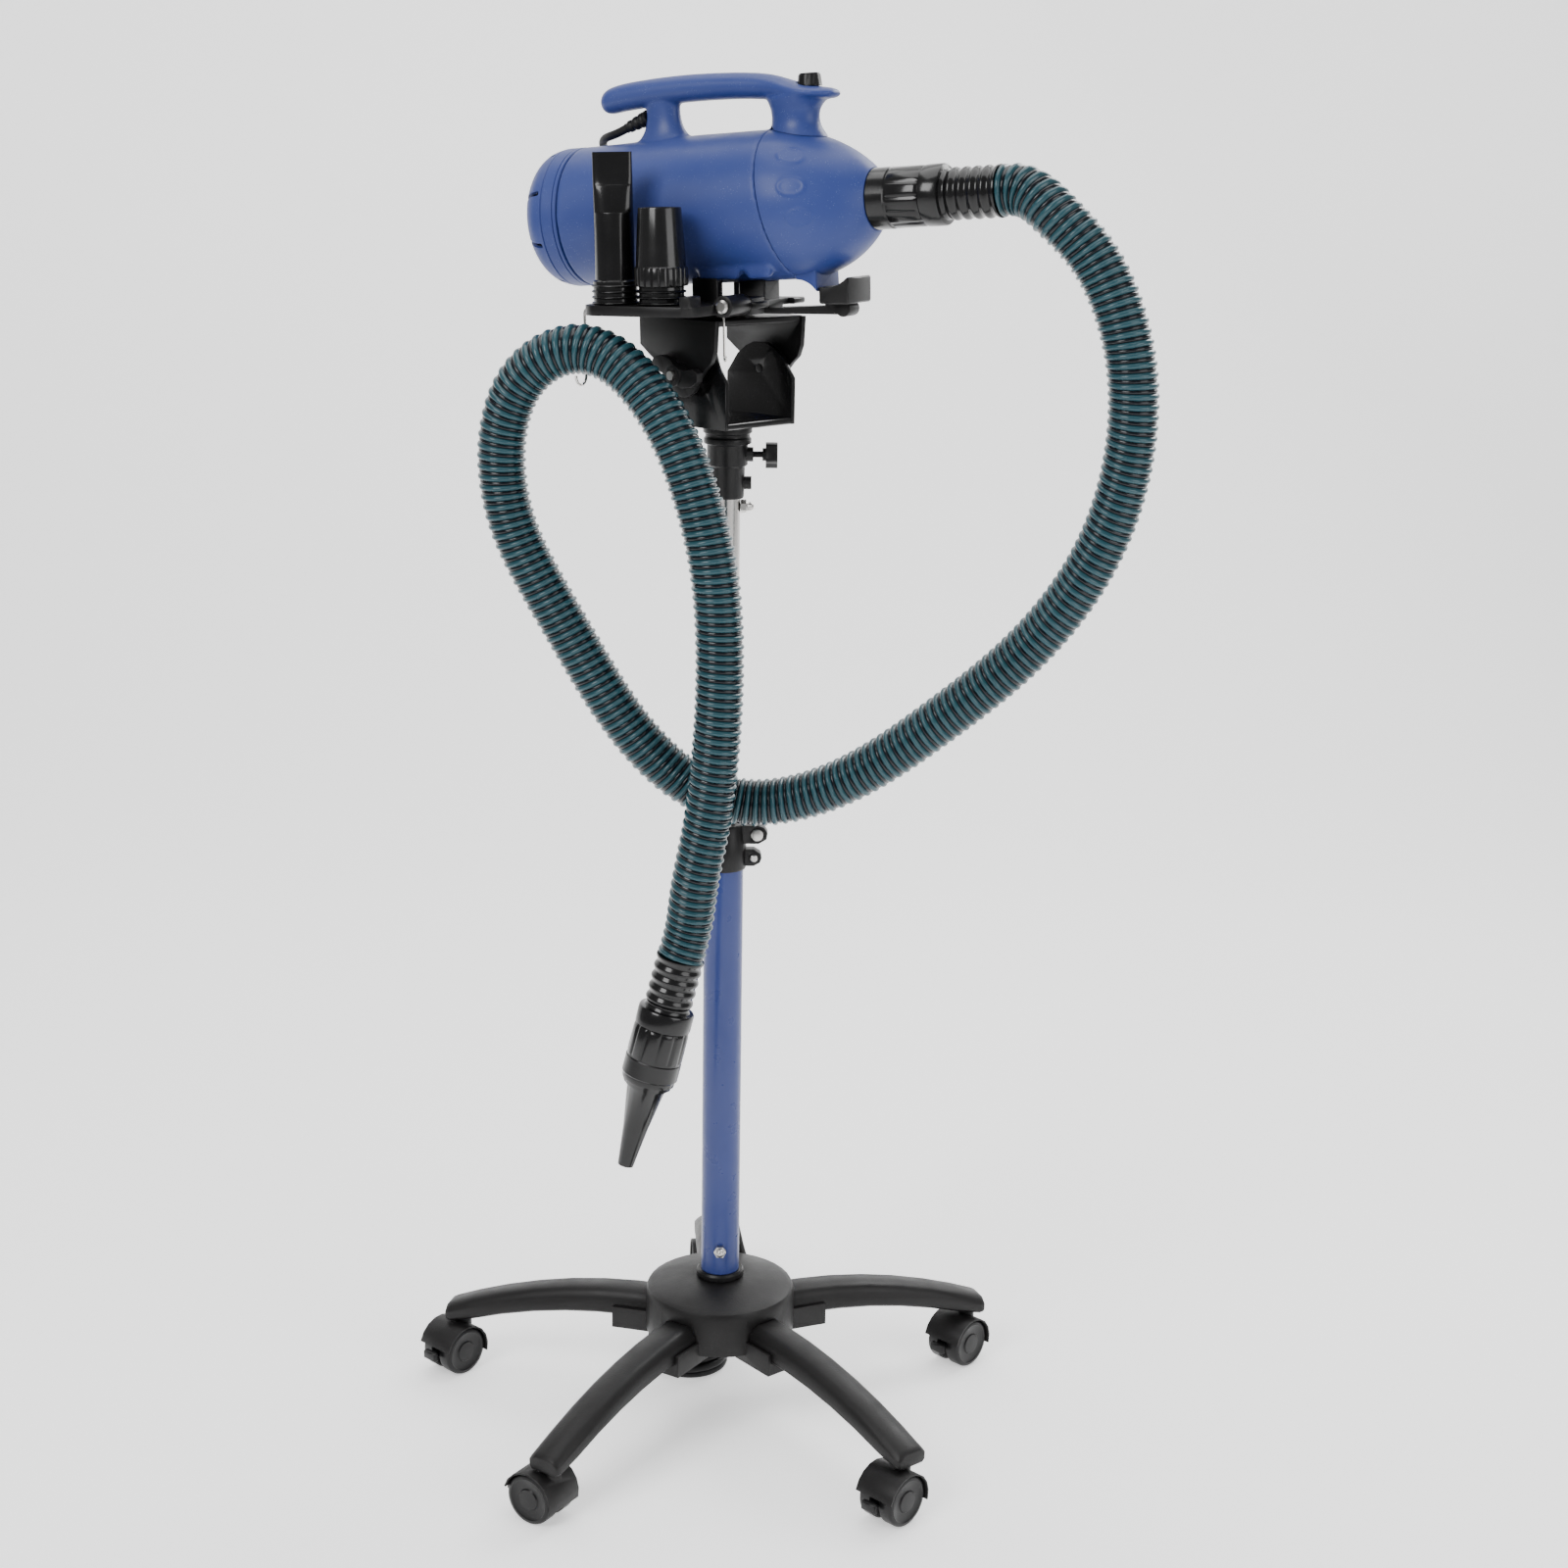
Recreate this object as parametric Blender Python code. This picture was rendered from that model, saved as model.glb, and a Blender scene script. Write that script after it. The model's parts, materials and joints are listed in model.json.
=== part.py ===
"""Pet dryer with a hose, an accessory tray and a rolling five-star stand.

Metres, +Z up. The stand's pole is vertical, the front is towards -Y, and the
floor is z = 0. The origin is on the floor under the middle of the object.
"""

import math

import bmesh
import bpy
import numpy as np
from mathutils import Euler, Matrix, Vector

GAP = 0.0003                     # clearance between pieces that touch

# Stand: the pole's place over the floor. Heights on the pole are taken from a
# level a little under the floor, PIT, where the casters' own frames are at z = 0.
POLE_X, POLE_Y, PIT = 0.0132, -0.0166, -0.009
HUB_R, HUB_TOP, HUB_RIM, HUB_BOTTOM = 0.075, 0.150, 0.1412, 0.0945
COLUMN_R, COLUMN_WALL, COLUMN_TOP = 0.0190, 0.0015, 0.600
MAST_R, MAST_WALL, MAST_FOOT, MAST_TOP = 0.0125, 0.0013, 0.300, 0.998
SLEEVE_FOOT, SLEEVE_TOP = 0.937, 1.0055
PIVOT_Z = 1.054                  # tilt axis of the head
DRYER_Z = 1.200                  # dryer's own axis, over the pole

# Five legs and their casters.
LEG_COUNT = 5
LEG_YAW = math.radians(92.8)     # the leg that points to the back
LEG_START, LEG_END, LEG_HALF_WIDTH, LEG_TAPER, LEG_FLOOR = 0.0555, 0.2925, 0.0190, 0.005, 0.0634
STEM_RADIUS_OUT = 0.278          # caster stem, from the pole
WHEEL_R, WHEEL_TRAIL, WHEEL_FACETS = 0.025, 0.0135, 20
CASTER_YAWS = [math.radians(a) for a in (276, 227, 146, 226, 226)]

# Head: yaw of the tilt mount, and yaw and pitch of the dryer.
MOUNT_YAW = math.radians(45)
DRYER_YAW, DRYER_PITCH, CRADLE_PITCH = math.radians(-28), math.radians(4.8), math.radians(1.8)

# Dryer body, along its own +X axis.
BODY_R, REAR_R, BODY_WALL, BODY_REAR, BODY_SEAM = 0.0660, 0.0628, 0.0030, -0.146, 0.064
SEAM_LEAN = math.tan(math.radians(10))
DOME_LENGTH, DOME_STEPS, NOSE_X, CAP_END = 0.096, 6, 0.1471, -0.1955
DOME_SHOULDER, DOME_CROWN = 1.8, 0.6
SPIGOT_R = 0.0228
KNOB_AT = (0.0880, 0.0, 0.1002)  # foot of the speed knob
RELIEF_AT = Vector((-0.0775, 0.0, 0.0850))
RELIEF_AXIS = Vector((-0.95, 0.10, -0.30)).normalized()
RELIEF_LENGTH = 0.0270
CUFF_R, CUFF_START, CUFF_END, TAIL_END = 0.0268, 0.1475, 0.2150, 0.2665
SPINE_TOP, TRAY_TOP, TRAY_THICKNESS, TRAY_END_R = -0.0805, -0.0810, 0.0088, 0.0275
FLAT_NOZZLE_AT, WIDE_NOZZLE_AT = (-0.0635, -0.098), (-0.0165, -0.098)
NOZZLE_TURN = math.radians(28)
SPARE_HOOK_AT = (0.0235, -0.0580)
CUP_REAR, CUP_FRONT, SCREW_AT = (0.0155, 0.0425), (0.1010, 0.1300), (0.0365, -0.0825)

# Hose and mains cord. Routes are the middle line, from the dryer on, about the pole.
TOOL_AT, TOOL_TURN = (-0.0385, -0.1060, 0.5215), (math.radians(-2.0), math.radians(14.0), 0.0)
HOSE_D, CORD_D = 0.045, 0.008
COIL_AT, COIL_INNER, COIL_OUTER, COIL_HEIGHT = (-0.0320, 0.0770), 0.0195, 0.0440, 0.0330
HOSE_ROUTE = [
    (0.2769, -0.1520, 1.2049), (0.3072, -0.1630, 1.1732), (0.3314, -0.1710, 1.1288),
    (0.3459, -0.1740, 1.0750), (0.3481, -0.1700, 1.0098), (0.3338, -0.1580, 0.9352),
    (0.3029, -0.1420, 0.8683), (0.2580, -0.1240, 0.8090), (0.1980, -0.1030, 0.7514),
    (0.1374, -0.0840, 0.7019), (0.0754, -0.0680, 0.6686), (0.0198, -0.0610, 0.6600),
    (-0.0238, -0.0600, 0.6724), (-0.0661, -0.0600, 0.7051), (-0.1024, -0.0590, 0.7505),
    (-0.1355, -0.0570, 0.8049), (-0.1690, -0.0550, 0.8636), (-0.1935, -0.0540, 0.9157),
    (-0.2037, -0.0540, 0.9695), (-0.2000, -0.0550, 1.0127), (-0.1825, -0.0600, 1.0513),
    (-0.1583, -0.0655, 1.0715), (-0.1328, -0.0710, 1.0786), (-0.1025, -0.0790, 1.0704),
    (-0.0780, -0.0870, 1.0500), (-0.0523, -0.0980, 1.0145), (-0.0278, -0.1080, 0.9577),
    (-0.0106, -0.1140, 0.8898), (-0.0042, -0.1150, 0.8050), (-0.0067, -0.1150, 0.7281),
    (-0.0164, -0.1120, 0.6444), (-0.0268, -0.1090, 0.5853),
]
CORD_ROUTE = [
    (-0.1148, 0.0747, 1.2594), (-0.1194, 0.0929, 1.2541), (-0.1168, 0.1108, 1.2435),
    (-0.1083, 0.1233, 1.2298), (-0.0943, 0.1283, 1.2120), (-0.0751, 0.1266, 1.1914),
    (-0.0543, 0.1195, 1.1722), (-0.0309, 0.1036, 1.1485),
    (-0.0240, 0.1040, 1.1050), (-0.0160, 0.0990, 1.0640), (-0.0060, 0.0840, 1.0240),
    (0.0000, 0.0650, 0.9780), (0.0000, 0.0500, 0.9150), (0.0000, 0.0410, 0.8400),
    (0.0000, 0.0370, 0.7400), (0.0000, 0.0360, 0.6200), (0.0000, 0.0360, 0.4800),
    (0.0000, 0.0360, 0.3400), (0.0020, 0.0400, 0.2600), (0.0080, 0.0560, 0.2050),
    (0.0150, 0.0750, 0.1680), (0.0215, 0.0895, 0.1330), (0.0285, 0.1010, 0.1000),
    (0.0270, 0.1080, 0.0740), (0.0110, 0.1135, 0.0535), (-0.0120, 0.1140, 0.0470),
    (-0.0320, 0.1130, 0.0466),
]

LOOKS = {                        # linear colour, roughness, metallic
    "blue_shell": ((0.048, 0.089, 0.328), 0.38, 0.0),
    "blue_paint": ((0.044, 0.082, 0.310), 0.30, 0.0),
    "black_plastic": ((0.010, 0.010, 0.011), 0.42, 0.0),
    "textured_black": ((0.014, 0.013, 0.014), 0.60, 0.0),
    "gloss_black": ((0.008, 0.008, 0.009), 0.22, 0.0),
    "hose_teal": ((0.018, 0.060, 0.075), 0.25, 0.0),
    "chromed_steel": ((0.62, 0.60, 0.58), 0.18, 1.0),
    "zinc_steel": ((0.52, 0.51, 0.50), 0.35, 1.0),
    "black_rubber": ((0.012, 0.012, 0.013), 0.55, 0.0),
    "filter_foam": ((0.030, 0.030, 0.034), 0.90, 0.0),
    "motor_can": ((0.30, 0.31, 0.32), 0.40, 1.0),
    "impeller_alloy": ((0.45, 0.46, 0.47), 0.35, 1.0),
}


# ---------------------------------------------------------------- helpers

def clear_scene():
    for old in list(bpy.data.objects):
        bpy.data.objects.remove(old, do_unlink=True)


def material(look):
    made = bpy.data.materials.get(look)
    if made is None:
        colour, roughness, metallic = LOOKS[look]
        made = bpy.data.materials.new(look)
        made.use_nodes = True
        shader = made.node_tree.nodes["Principled BSDF"]
        shader.inputs["Base Color"].default_value = (*colour, 1.0)
        shader.inputs["Roughness"].default_value = roughness
        shader.inputs["Metallic"].default_value = metallic
        made.diffuse_color = (*colour, 1.0)
    return made


def frame(name, parent, location, rotation=(0.0, 0.0, 0.0)):
    """An empty that pieces are placed in."""
    empty = bpy.data.objects.new(name, None)
    empty.location = location
    empty.rotation_euler = Euler(rotation)
    empty.parent = parent
    bpy.context.scene.collection.objects.link(empty)
    return empty


def place(name, mesh, look, parent, location=(0.0, 0.0, 0.0), rotation=(0.0, 0.0, 0.0)):
    """A named sub-part with its material."""
    mesh.name = name
    mesh.materials.clear()
    mesh.materials.append(material(look))
    mesh.shade_smooth()
    mesh.set_sharp_from_angle(angle=math.radians(35))
    piece = bpy.data.objects.new(name, mesh)
    piece.location = location
    piece.rotation_euler = Euler(rotation)
    piece.parent = parent
    bpy.context.scene.collection.objects.link(piece)
    return piece


def finished(work):
    """The bmesh as a mesh with its faces pointing out."""
    bmesh.ops.recalc_face_normals(work, faces=work.faces)
    mesh = bpy.data.meshes.new("shape")
    work.to_mesh(mesh)
    work.free()
    return mesh


def loft(rings, closed=False):
    """Skin through rings of points; the ends get flat caps unless the skin is closed."""
    work = bmesh.new()
    made = [[work.verts.new(point) for point in ring] for ring in rings]
    pairs = list(zip(made, made[1:]))
    if closed:
        pairs.append((made[-1], made[0]))
    for low, high in pairs:
        count = len(low)
        for i in range(count):
            j = (i + 1) % count
            work.faces.new((low[i], low[j], high[j], high[i]))
    if not closed:
        work.faces.new(made[0])
        work.faces.new(made[-1])
    return finished(work)


def circle(radius, at, segments, phase=0.0):
    """A ring of points about +Z at height at."""
    step = 2 * math.pi / segments
    return [
        Vector((radius * math.cos(phase + i * step), radius * math.sin(phase + i * step), at))
        for i in range(segments)
    ]


def lathe(profile, segments=24, closed=False, phase=0.0):
    """A turned piece about +Z; profile is (radius, height) from foot to top, or a closed loop."""
    return loft([circle(r, z, segments, phase) for r, z in profile], closed)


def turned(mesh, axis):
    """Turns a piece made about +Z so that it lies along axis."""
    mesh.transform(Vector((0, 0, 1)).rotation_difference(Vector(axis)).to_matrix().to_4x4())
    return mesh


def moved(mesh, offset):
    mesh.transform(Matrix.Translation(offset))
    return mesh


def tube(outer, inner, foot, top, segments=24):
    return lathe([(inner, foot), (outer, foot), (outer, top), (inner, top)], segments, closed=True)


def rod(radius, start, end, segments=12):
    """A plain round bar between two points."""
    start, end = Vector(start), Vector(end)
    bar = lathe([(radius, 0.0), (radius, (end - start).length)], segments)
    return moved(turned(bar, (end - start).normalized()), start)


def block(low, high, bevel=0.0, segments=1):
    """A box between two corners, with its edges rounded."""
    low, high = Vector(low), Vector(high)
    work = bmesh.new()
    bmesh.ops.create_cube(work, size=1.0)
    bmesh.ops.scale(work, vec=high - low, verts=work.verts)
    bmesh.ops.translate(work, vec=(low + high) / 2, verts=work.verts)
    if bevel:
        bmesh.ops.bevel(
            work, geom=work.edges[:], offset=bevel, segments=segments,
            affect="EDGES", profile=0.5, clamp_overlap=True,
        )
    return finished(work)


def plate(outline, thickness):
    """A flat outline in XY, given thickness upwards from z = 0."""
    return loft([[Vector((x, y, z)) for x, y in outline] for z in (0.0, thickness)])


def combine(mesh, tools, operation):
    """mesh after an exact Boolean with each tool in turn."""
    scene = bpy.context.scene
    for tool in tools:
        body = bpy.data.objects.new("body", mesh)
        cutter = bpy.data.objects.new("cutter", tool)
        scene.collection.objects.link(body)
        scene.collection.objects.link(cutter)
        change = body.modifiers.new("change", "BOOLEAN")
        change.operation = operation
        change.object = cutter
        change.solver = "EXACT"
        depsgraph = bpy.context.evaluated_depsgraph_get()
        mesh = bpy.data.meshes.new_from_object(body.evaluated_get(depsgraph))
        bpy.data.objects.remove(body, do_unlink=True)
        bpy.data.objects.remove(cutter, do_unlink=True)
    return mesh


def union(mesh, *tools):
    return combine(mesh, tools, "UNION")


def cut(mesh, *tools):
    return combine(mesh, tools, "DIFFERENCE")


def smooth_points(knots, spacing):
    """Evenly spaced points on a natural cubic spline through the knots."""
    knots = np.array(knots, float)
    along = np.concatenate(([0.0], np.cumsum(np.linalg.norm(np.diff(knots, axis=0), axis=1))))
    step = np.diff(along)
    count = len(knots)
    system, slopes = np.eye(count), np.zeros((count, 3))
    for i in range(1, count - 1):
        system[i, i - 1:i + 2] = step[i - 1], 2 * (step[i - 1] + step[i]), step[i]
        rise = (knots[i + 1] - knots[i]) / step[i] - (knots[i] - knots[i - 1]) / step[i - 1]
        slopes[i] = 6 * rise
    bend = np.linalg.solve(system, slopes)
    total = along[-1]
    points = []
    for s in np.linspace(0.0, total, int(round(total / spacing)) + 1):
        i = min(int(np.searchsorted(along, s, side="right")) - 1, count - 2)
        width, left, right = step[i], along[i + 1] - s, s - along[i]
        points.append(
            (bend[i] * left ** 3 + bend[i + 1] * right ** 3) / (6 * width)
            + (knots[i] / width - bend[i] * width / 6) * left
            + (knots[i + 1] / width - bend[i + 1] * width / 6) * right
        )
    return points


def flexible(name, points, diameter, look, parent, resolution):
    """A round cord or hose along points, with filled ends."""
    curve = bpy.data.curves.new(name, "CURVE")
    curve.dimensions = "3D"
    curve.bevel_depth = diameter / 2
    curve.bevel_resolution = resolution
    curve.use_fill_caps = True
    spline = curve.splines.new("POLY")
    spline.points.add(len(points) - 1)
    for spot, point in zip(spline.points, points):
        spot.co = (*point, 1.0)
    curve.materials.append(material(look))
    piece = bpy.data.objects.new(name, curve)
    piece.parent = parent
    bpy.context.scene.collection.objects.link(piece)
    return piece


# ------------------------------------------------------------- the stand

def leg_top(radius_out):
    """Height of a leg's upper face, an arch that falls towards the tip."""
    return 0.1245 - 0.95 * max(radius_out - 0.085, 0.0) ** 2 - 0.02 * max(radius_out - 0.085, 0.0)


def leg_section(at, swell, scale=1.0):
    """Cross-section of a leg: flat underside, upright sides and a narrower, rounded top."""
    width = LEG_HALF_WIDTH - LEG_TAPER * (at - LEG_START) + swell
    top = leg_top(at) + swell
    bottom = max(top - 0.0265 + 0.028 * max(at - 0.1, 0.0), LEG_FLOOR) - 2 * swell
    thickness = top - bottom
    middle = (top + bottom) / 2
    half = [
        (width - 0.003, bottom), (width, bottom + 0.003), (width, bottom + 0.62 * thickness),
        (0.80 * width, top - 0.003), (0.55 * width, top),
    ]
    outline = half + [(-w, z) for w, z in reversed(half)]
    return [Vector((at, w * scale, middle + (z - middle) * scale)) for w, z in outline]


def leg_shape(start, swell):
    sections = [start, 0.090, 0.125, 0.160, 0.195, 0.230, 0.262]
    rings = [leg_section(at, swell) for at in sections]
    for inset, scale in ((0.0055, 0.99), (0.0015, 0.94), (0.0, 0.84)):
        rings.append(leg_section(LEG_END - inset, swell, scale))
    return loft(rings)


def leg_angle(index):
    return LEG_YAW + index * 2 * math.pi / LEG_COUNT


def make_hub(stand):
    """Round boss that carries the column, with a socket for each leg."""
    recess = 0.030
    hub = lathe([
        (0.0195, HUB_BOTTOM), (recess, HUB_BOTTOM), (recess, 0.1380), (0.067, 0.1340), (0.067, HUB_BOTTOM),
        (HUB_R, HUB_BOTTOM), (HUB_R, 0.1330), (0.0728, 0.1385), (0.0670, HUB_RIM), (0.0195, HUB_TOP),
    ], 36, closed=True)
    sockets, roots = [], []
    for index in range(LEG_COUNT):
        turn = Matrix.Rotation(leg_angle(index), 4, "Z")
        sockets.append(block((0.040, -0.0232, 0.0860), (0.1070, 0.0232, 0.1080)))
        roots.append(leg_shape(LEG_START - 0.0005, 0.0004))
        sockets[-1].transform(turn)
        roots[-1].transform(turn)
    place("hub", cut(union(hub, *sockets), *roots), "textured_black", stand)


def make_leg(index, stand):
    """One arched leg, with a blind hole for its caster's stem."""
    hole_top = leg_top(STEM_RADIUS_OUT) - 0.004
    hole = rod(0.0059, (STEM_RADIUS_OUT, 0, 0.04), (STEM_RADIUS_OUT, 0, hole_top))
    place(
        f"leg_{index + 1}", cut(leg_shape(LEG_START, 0.0), hole),
        "textured_black", stand, rotation=(0, 0, leg_angle(index)),
    )


def make_caster(index, floor):
    """Twin-wheel caster: hooded housing on a stem, a wheel pair and a brake tab."""
    out = leg_angle(index)
    stem = frame(
        f"caster_{index + 1}_stem_axis", floor,
        (STEM_RADIUS_OUT * math.cos(out), STEM_RADIUS_OUT * math.sin(out), 0.0),
        (0, 0, CASTER_YAWS[index]),
    )
    hood_r, hood_inner, web_r, half_width = 0.0278, 0.0259, 0.0200, 0.0218
    arc = [math.radians(a) for a in range(15, 196, 20)]
    outline = [(hood_r * math.cos(a), hood_r * math.sin(a)) for a in arc]
    outline += [(hood_inner * math.cos(a), hood_inner * math.sin(a)) for a in reversed(arc)]
    hood = moved(plate(outline, 2 * half_width), (0, 0, -half_width))
    web_outline = [(hood_inner * 1.03 * math.cos(a), hood_inner * 1.03 * math.sin(a)) for a in arc]
    web_outline += [(web_r * math.cos(a), web_r * math.sin(a)) for a in np.radians(range(220, 371, 30))]
    web = moved(plate(web_outline, 0.0080), (0, 0, -0.0040))
    housing = union(hood, web)
    housing.transform(Matrix.Rotation(math.pi / 2, 4, "X"))
    moved(housing, (WHEEL_TRAIL, 0, WHEEL_R))
    neck = lathe([(0.0085, 0.0400), (0.0085, 0.0540), (0.0055, 0.0542), (0.0055, 0.0690)], 12)
    axle_hole = rod(0.0046, (WHEEL_TRAIL, -0.01, WHEEL_R), (WHEEL_TRAIL, 0.01, WHEEL_R))
    wheel_space = [
        rod(WHEEL_R + 0.0012, (WHEEL_TRAIL, near, WHEEL_R), (WHEEL_TRAIL, far, WHEEL_R), 20)
        for near, far in ((-0.0042, -0.030), (0.0042, 0.030))
    ]
    housing = cut(union(housing, neck), axle_hole, *wheel_space)
    place(f"caster_{index + 1}_housing", housing, "textured_black", stem)

    tread = WHEEL_R / math.cos(math.pi / WHEEL_FACETS)
    half = [(0.0040, 0.0046), (tread, 0.0046), (tread, 0.0190), (0.0230, 0.0203)]
    profile = [(r, -z) for r, z in reversed(half)] + half
    wheels = turned(lathe(profile, WHEEL_FACETS, phase=math.pi / WHEEL_FACETS), (0, 1, 0))
    place(f"caster_{index + 1}_wheels", wheels, "black_plastic", stem, (WHEEL_TRAIL, 0, WHEEL_R))

    shank = block((-0.0015, -0.0032, -0.0030), (0.0070, 0.0032, 0.0030))
    pad = block((0.0060, -0.0090, -0.0045), (0.0125, 0.0090, 0.0045), 0.0012)
    place(
        f"caster_{index + 1}_brake", union(pad, shank), "black_plastic", stem,
        (WHEEL_TRAIL + web_r + 0.0018, 0, WHEEL_R),
    )


def make_column(stand):
    """Blue column, the ring at its foot, its cross bolt and the clamp collar at its top."""
    column = tube(COLUMN_R, COLUMN_R - COLUMN_WALL, 0.100, COLUMN_TOP, 20)
    bolt_z = 0.183
    column = cut(column, rod(0.0029, (0, -0.03, bolt_z), (0, 0.03, bolt_z)))
    place("column_tube", column, "blue_paint", stand)
    ring = lathe([(COLUMN_R + GAP, HUB_TOP + GAP), (0.0237, HUB_TOP + GAP), (0.0237, 0.1545),
                  (0.0222, 0.1565), (COLUMN_R + GAP, 0.1565)], 20, closed=True)
    place("column_foot_ring", ring, "black_plastic", stand)
    shank = rod(0.0025, (0, -0.0235, bolt_z), (0, 0.0235, bolt_z))
    head = turned(lathe([(0.0060, 0.0193), (0.0060, 0.0235), (0.0045, 0.0255)], 6), (0, 1, 0))
    nut = turned(lathe([(0.0062, 0.0193), (0.0062, 0.0240)], 6), (0, -1, 0))
    dome = [(0.0046, 0.0235), (0.0046, 0.0258), (0.0034, 0.0282), (0.0014, 0.0294)]
    cap = turned(lathe(dome, 12), (0, -1, 0))
    fittings = [moved(piece, (0, 0, bolt_z)) for piece in (head, nut, cap)]
    place("column_bolt", union(shank, *fittings), "zinc_steel", stand)
    make_clamp(stand)


def make_clamp(stand):
    """Split collar on top of the column that grips the mast, with its bolts."""
    grip = MAST_R + 0.0004
    collar = lathe([
        (COLUMN_R + GAP, 0.5780), (0.0213, 0.5780), (0.0218, 0.5800), (0.0218, 0.6000), (0.0205, 0.6040),
        (0.0190, 0.6210), (0.0180, 0.6225), (grip, 0.6225), (grip, 0.6006), (COLUMN_R + GAP, 0.6006),
    ], 20, closed=True)
    upper = [(0.0150, -0.0085), (0.0335, -0.0085), (0.0410, -0.0040), (0.0420, 0.0020), (0.0385, 0.0075),
             (0.0330, 0.0095), (0.0150, 0.0095)]
    lower = [(0.0190, -0.0080), (0.0290, -0.0080), (0.0350, -0.0045), (0.0365, 0.0), (0.0350, 0.0045),
             (0.0290, 0.0080), (0.0190, 0.0080)]
    ears = []
    for outline, thickness, height in ((upper, 0.0150, 0.6120), (lower, 0.0130, 0.5890)):
        ear = moved(plate(outline, thickness), (0, 0, -thickness / 2))
        ear.transform(Matrix.Translation((0, 0, height)) @ Matrix.Rotation(math.pi / 2, 4, "X"))
        ears.append(ear)
    bolts = [(0.0320, 0.6125, 0.0058, 0.0058, 0.0078), (0.0290, 0.5890, 0.0022, 0.0036, 0.0068)]
    holes = [rod(shaft + 0.0004, (x, -0.02, z), (x, 0.02, z), 18) for x, z, shaft, _, _ in bolts]
    holes.append(rod(grip, (0, 0, 0.57), (0, 0, 0.63), 20))
    holes.append(rod(COLUMN_R + GAP, (0, 0, 0.57), (0, 0, 0.6006), 20))
    place("clamp_collar", cut(union(collar, *ears), *holes), "black_plastic", stand)
    for number, (x, z, shaft, head_r, reach) in enumerate(bolts, 1):
        bolt = turned(lathe([(shaft, -reach), (shaft, reach), (head_r, reach), (head_r, reach + 0.0016),
                             (head_r * 0.7, reach + 0.0024)], 14), (0, -1, 0))
        place(f"clamp_bolt_{number}", bolt, "zinc_steel", stand, (x, 0, z))


def make_mast(stand):
    """Bright inner tube that slides in the column, with its cross bolt."""
    bolt_z = 0.929
    mast = tube(MAST_R, MAST_R - MAST_WALL, MAST_FOOT, MAST_TOP, 20)
    mast = cut(mast, rod(0.0029, (-0.02, 0, bolt_z), (0.02, 0, bolt_z)))
    place("mast_tube", mast, "chromed_steel", stand)
    shank = rod(0.0025, (-0.0165, 0, bolt_z), (0.0180, 0, bolt_z))
    head = turned(lathe([(0.0055, 0.0128), (0.0055, 0.0165), (0.0040, 0.0175)], 6), (-1, 0, 0))
    nut = turned(lathe([(0.0062, 0.0128), (0.0062, 0.0180)], 6), (1, 0, 0))
    dome = [(0.0044, 0.0175), (0.0044, 0.0215), (0.0032, 0.0240), (0.0014, 0.0250)]
    cap = turned(lathe(dome, 12), (1, 0, 0))
    fittings = [moved(piece, (0, 0, bolt_z)) for piece in (head, nut, cap)]
    place("mast_bolt", union(shank, *fittings), "zinc_steel", stand)


# ---------------------------------------------------- swivel and tilt mount

def upright(outline, wall, at):
    """A plate that stands across the tilt axis; outline is in (across, up)."""
    made = plate(outline, wall)
    made.transform(Matrix(((0, 0, 1, at), (1, 0, 0, 0), (0, 1, 0, 0), (0, 0, 0, 1))))
    return made


def make_swivel(stand, mount):
    """Socket that turns on the mast, its thumb screw, and the U bracket on top."""
    bore = MAST_R + GAP
    sleeve = lathe([
        (bore, SLEEVE_FOOT), (0.0152, SLEEVE_FOOT), (0.0158, 0.9385), (0.0165, 0.9660), (0.0190, 0.9680),
        (0.0190, 0.9865), (0.0222, 0.9880), (0.0222, 0.9925), (0.0208, 0.9940), (0.0208, 0.9965),
        (0.0228, 0.9980), (0.0228, SLEEVE_TOP), (0.0060, SLEEVE_TOP), (0.0060, 1.0000), (bore, 1.0000),
    ], 20, closed=True)
    screw_z = 0.9775
    boss = rod(0.0068, (0.0150, 0, screw_z), (0.0240, 0, screw_z))
    lug = rod(0.0062, (0.0130, 0, 0.9510), (0.0225, 0, 0.9510))
    screw_hole = rod(0.0034, (0.005, 0, screw_z), (0.03, 0, screw_z))
    bores = [rod(bore, (0, 0, 0.93), (0, 0, 1.0000), 20), screw_hole]
    place("socket_sleeve", cut(union(sleeve, boss, lug), *bores), "black_plastic", stand)

    lobes, steps = 5, 5
    outline = []
    for i in range(lobes * steps):
        angle = 2 * math.pi * i / (lobes * steps)
        radius = 0.0112 + 0.0016 * math.cos(lobes * angle)
        outline.append((radius * math.cos(angle), radius * math.sin(angle)))
    knob = moved(turned(plate(outline, 0.0110), (1, 0, 0)), (0.0355, 0, 0))
    collar = rod(0.0060, (0.0325, 0, 0), (0.0360, 0, 0))
    shaft = rod(0.0029, (0.0129, 0, 0), (0.0360, 0, 0))
    place("thumb_screw", union(knob, collar, shaft), "black_plastic", stand, (0, 0, screw_z))

    half_x, half_y, foot, base_top, wall = 0.0450, 0.0425, -0.0480, -0.0420, 0.0045
    bracket = block((-half_x, -half_y, foot), (half_x, half_y, base_top), 0.0012)
    half = [(half_y, foot), (half_y, -0.0060), (0.0290, 0.0120), (0.0180, 0.0200), (0.0080, 0.0240)]
    outline = half + [(-y, z) for y, z in reversed(half)]
    for at in (-half_x, half_x - wall):
        bracket = union(bracket, upright(outline, wall, at))
    pin_hole = rod(0.0045, (-0.06, 0, 0), (0.06, 0, 0))
    boss = rod(0.0055, (0, 0, foot - 0.0002), (0, 0, base_top - 0.001), 16)
    place("swivel_bracket", cut(union(bracket, boss), pin_hole), "gloss_black", mount)


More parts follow.
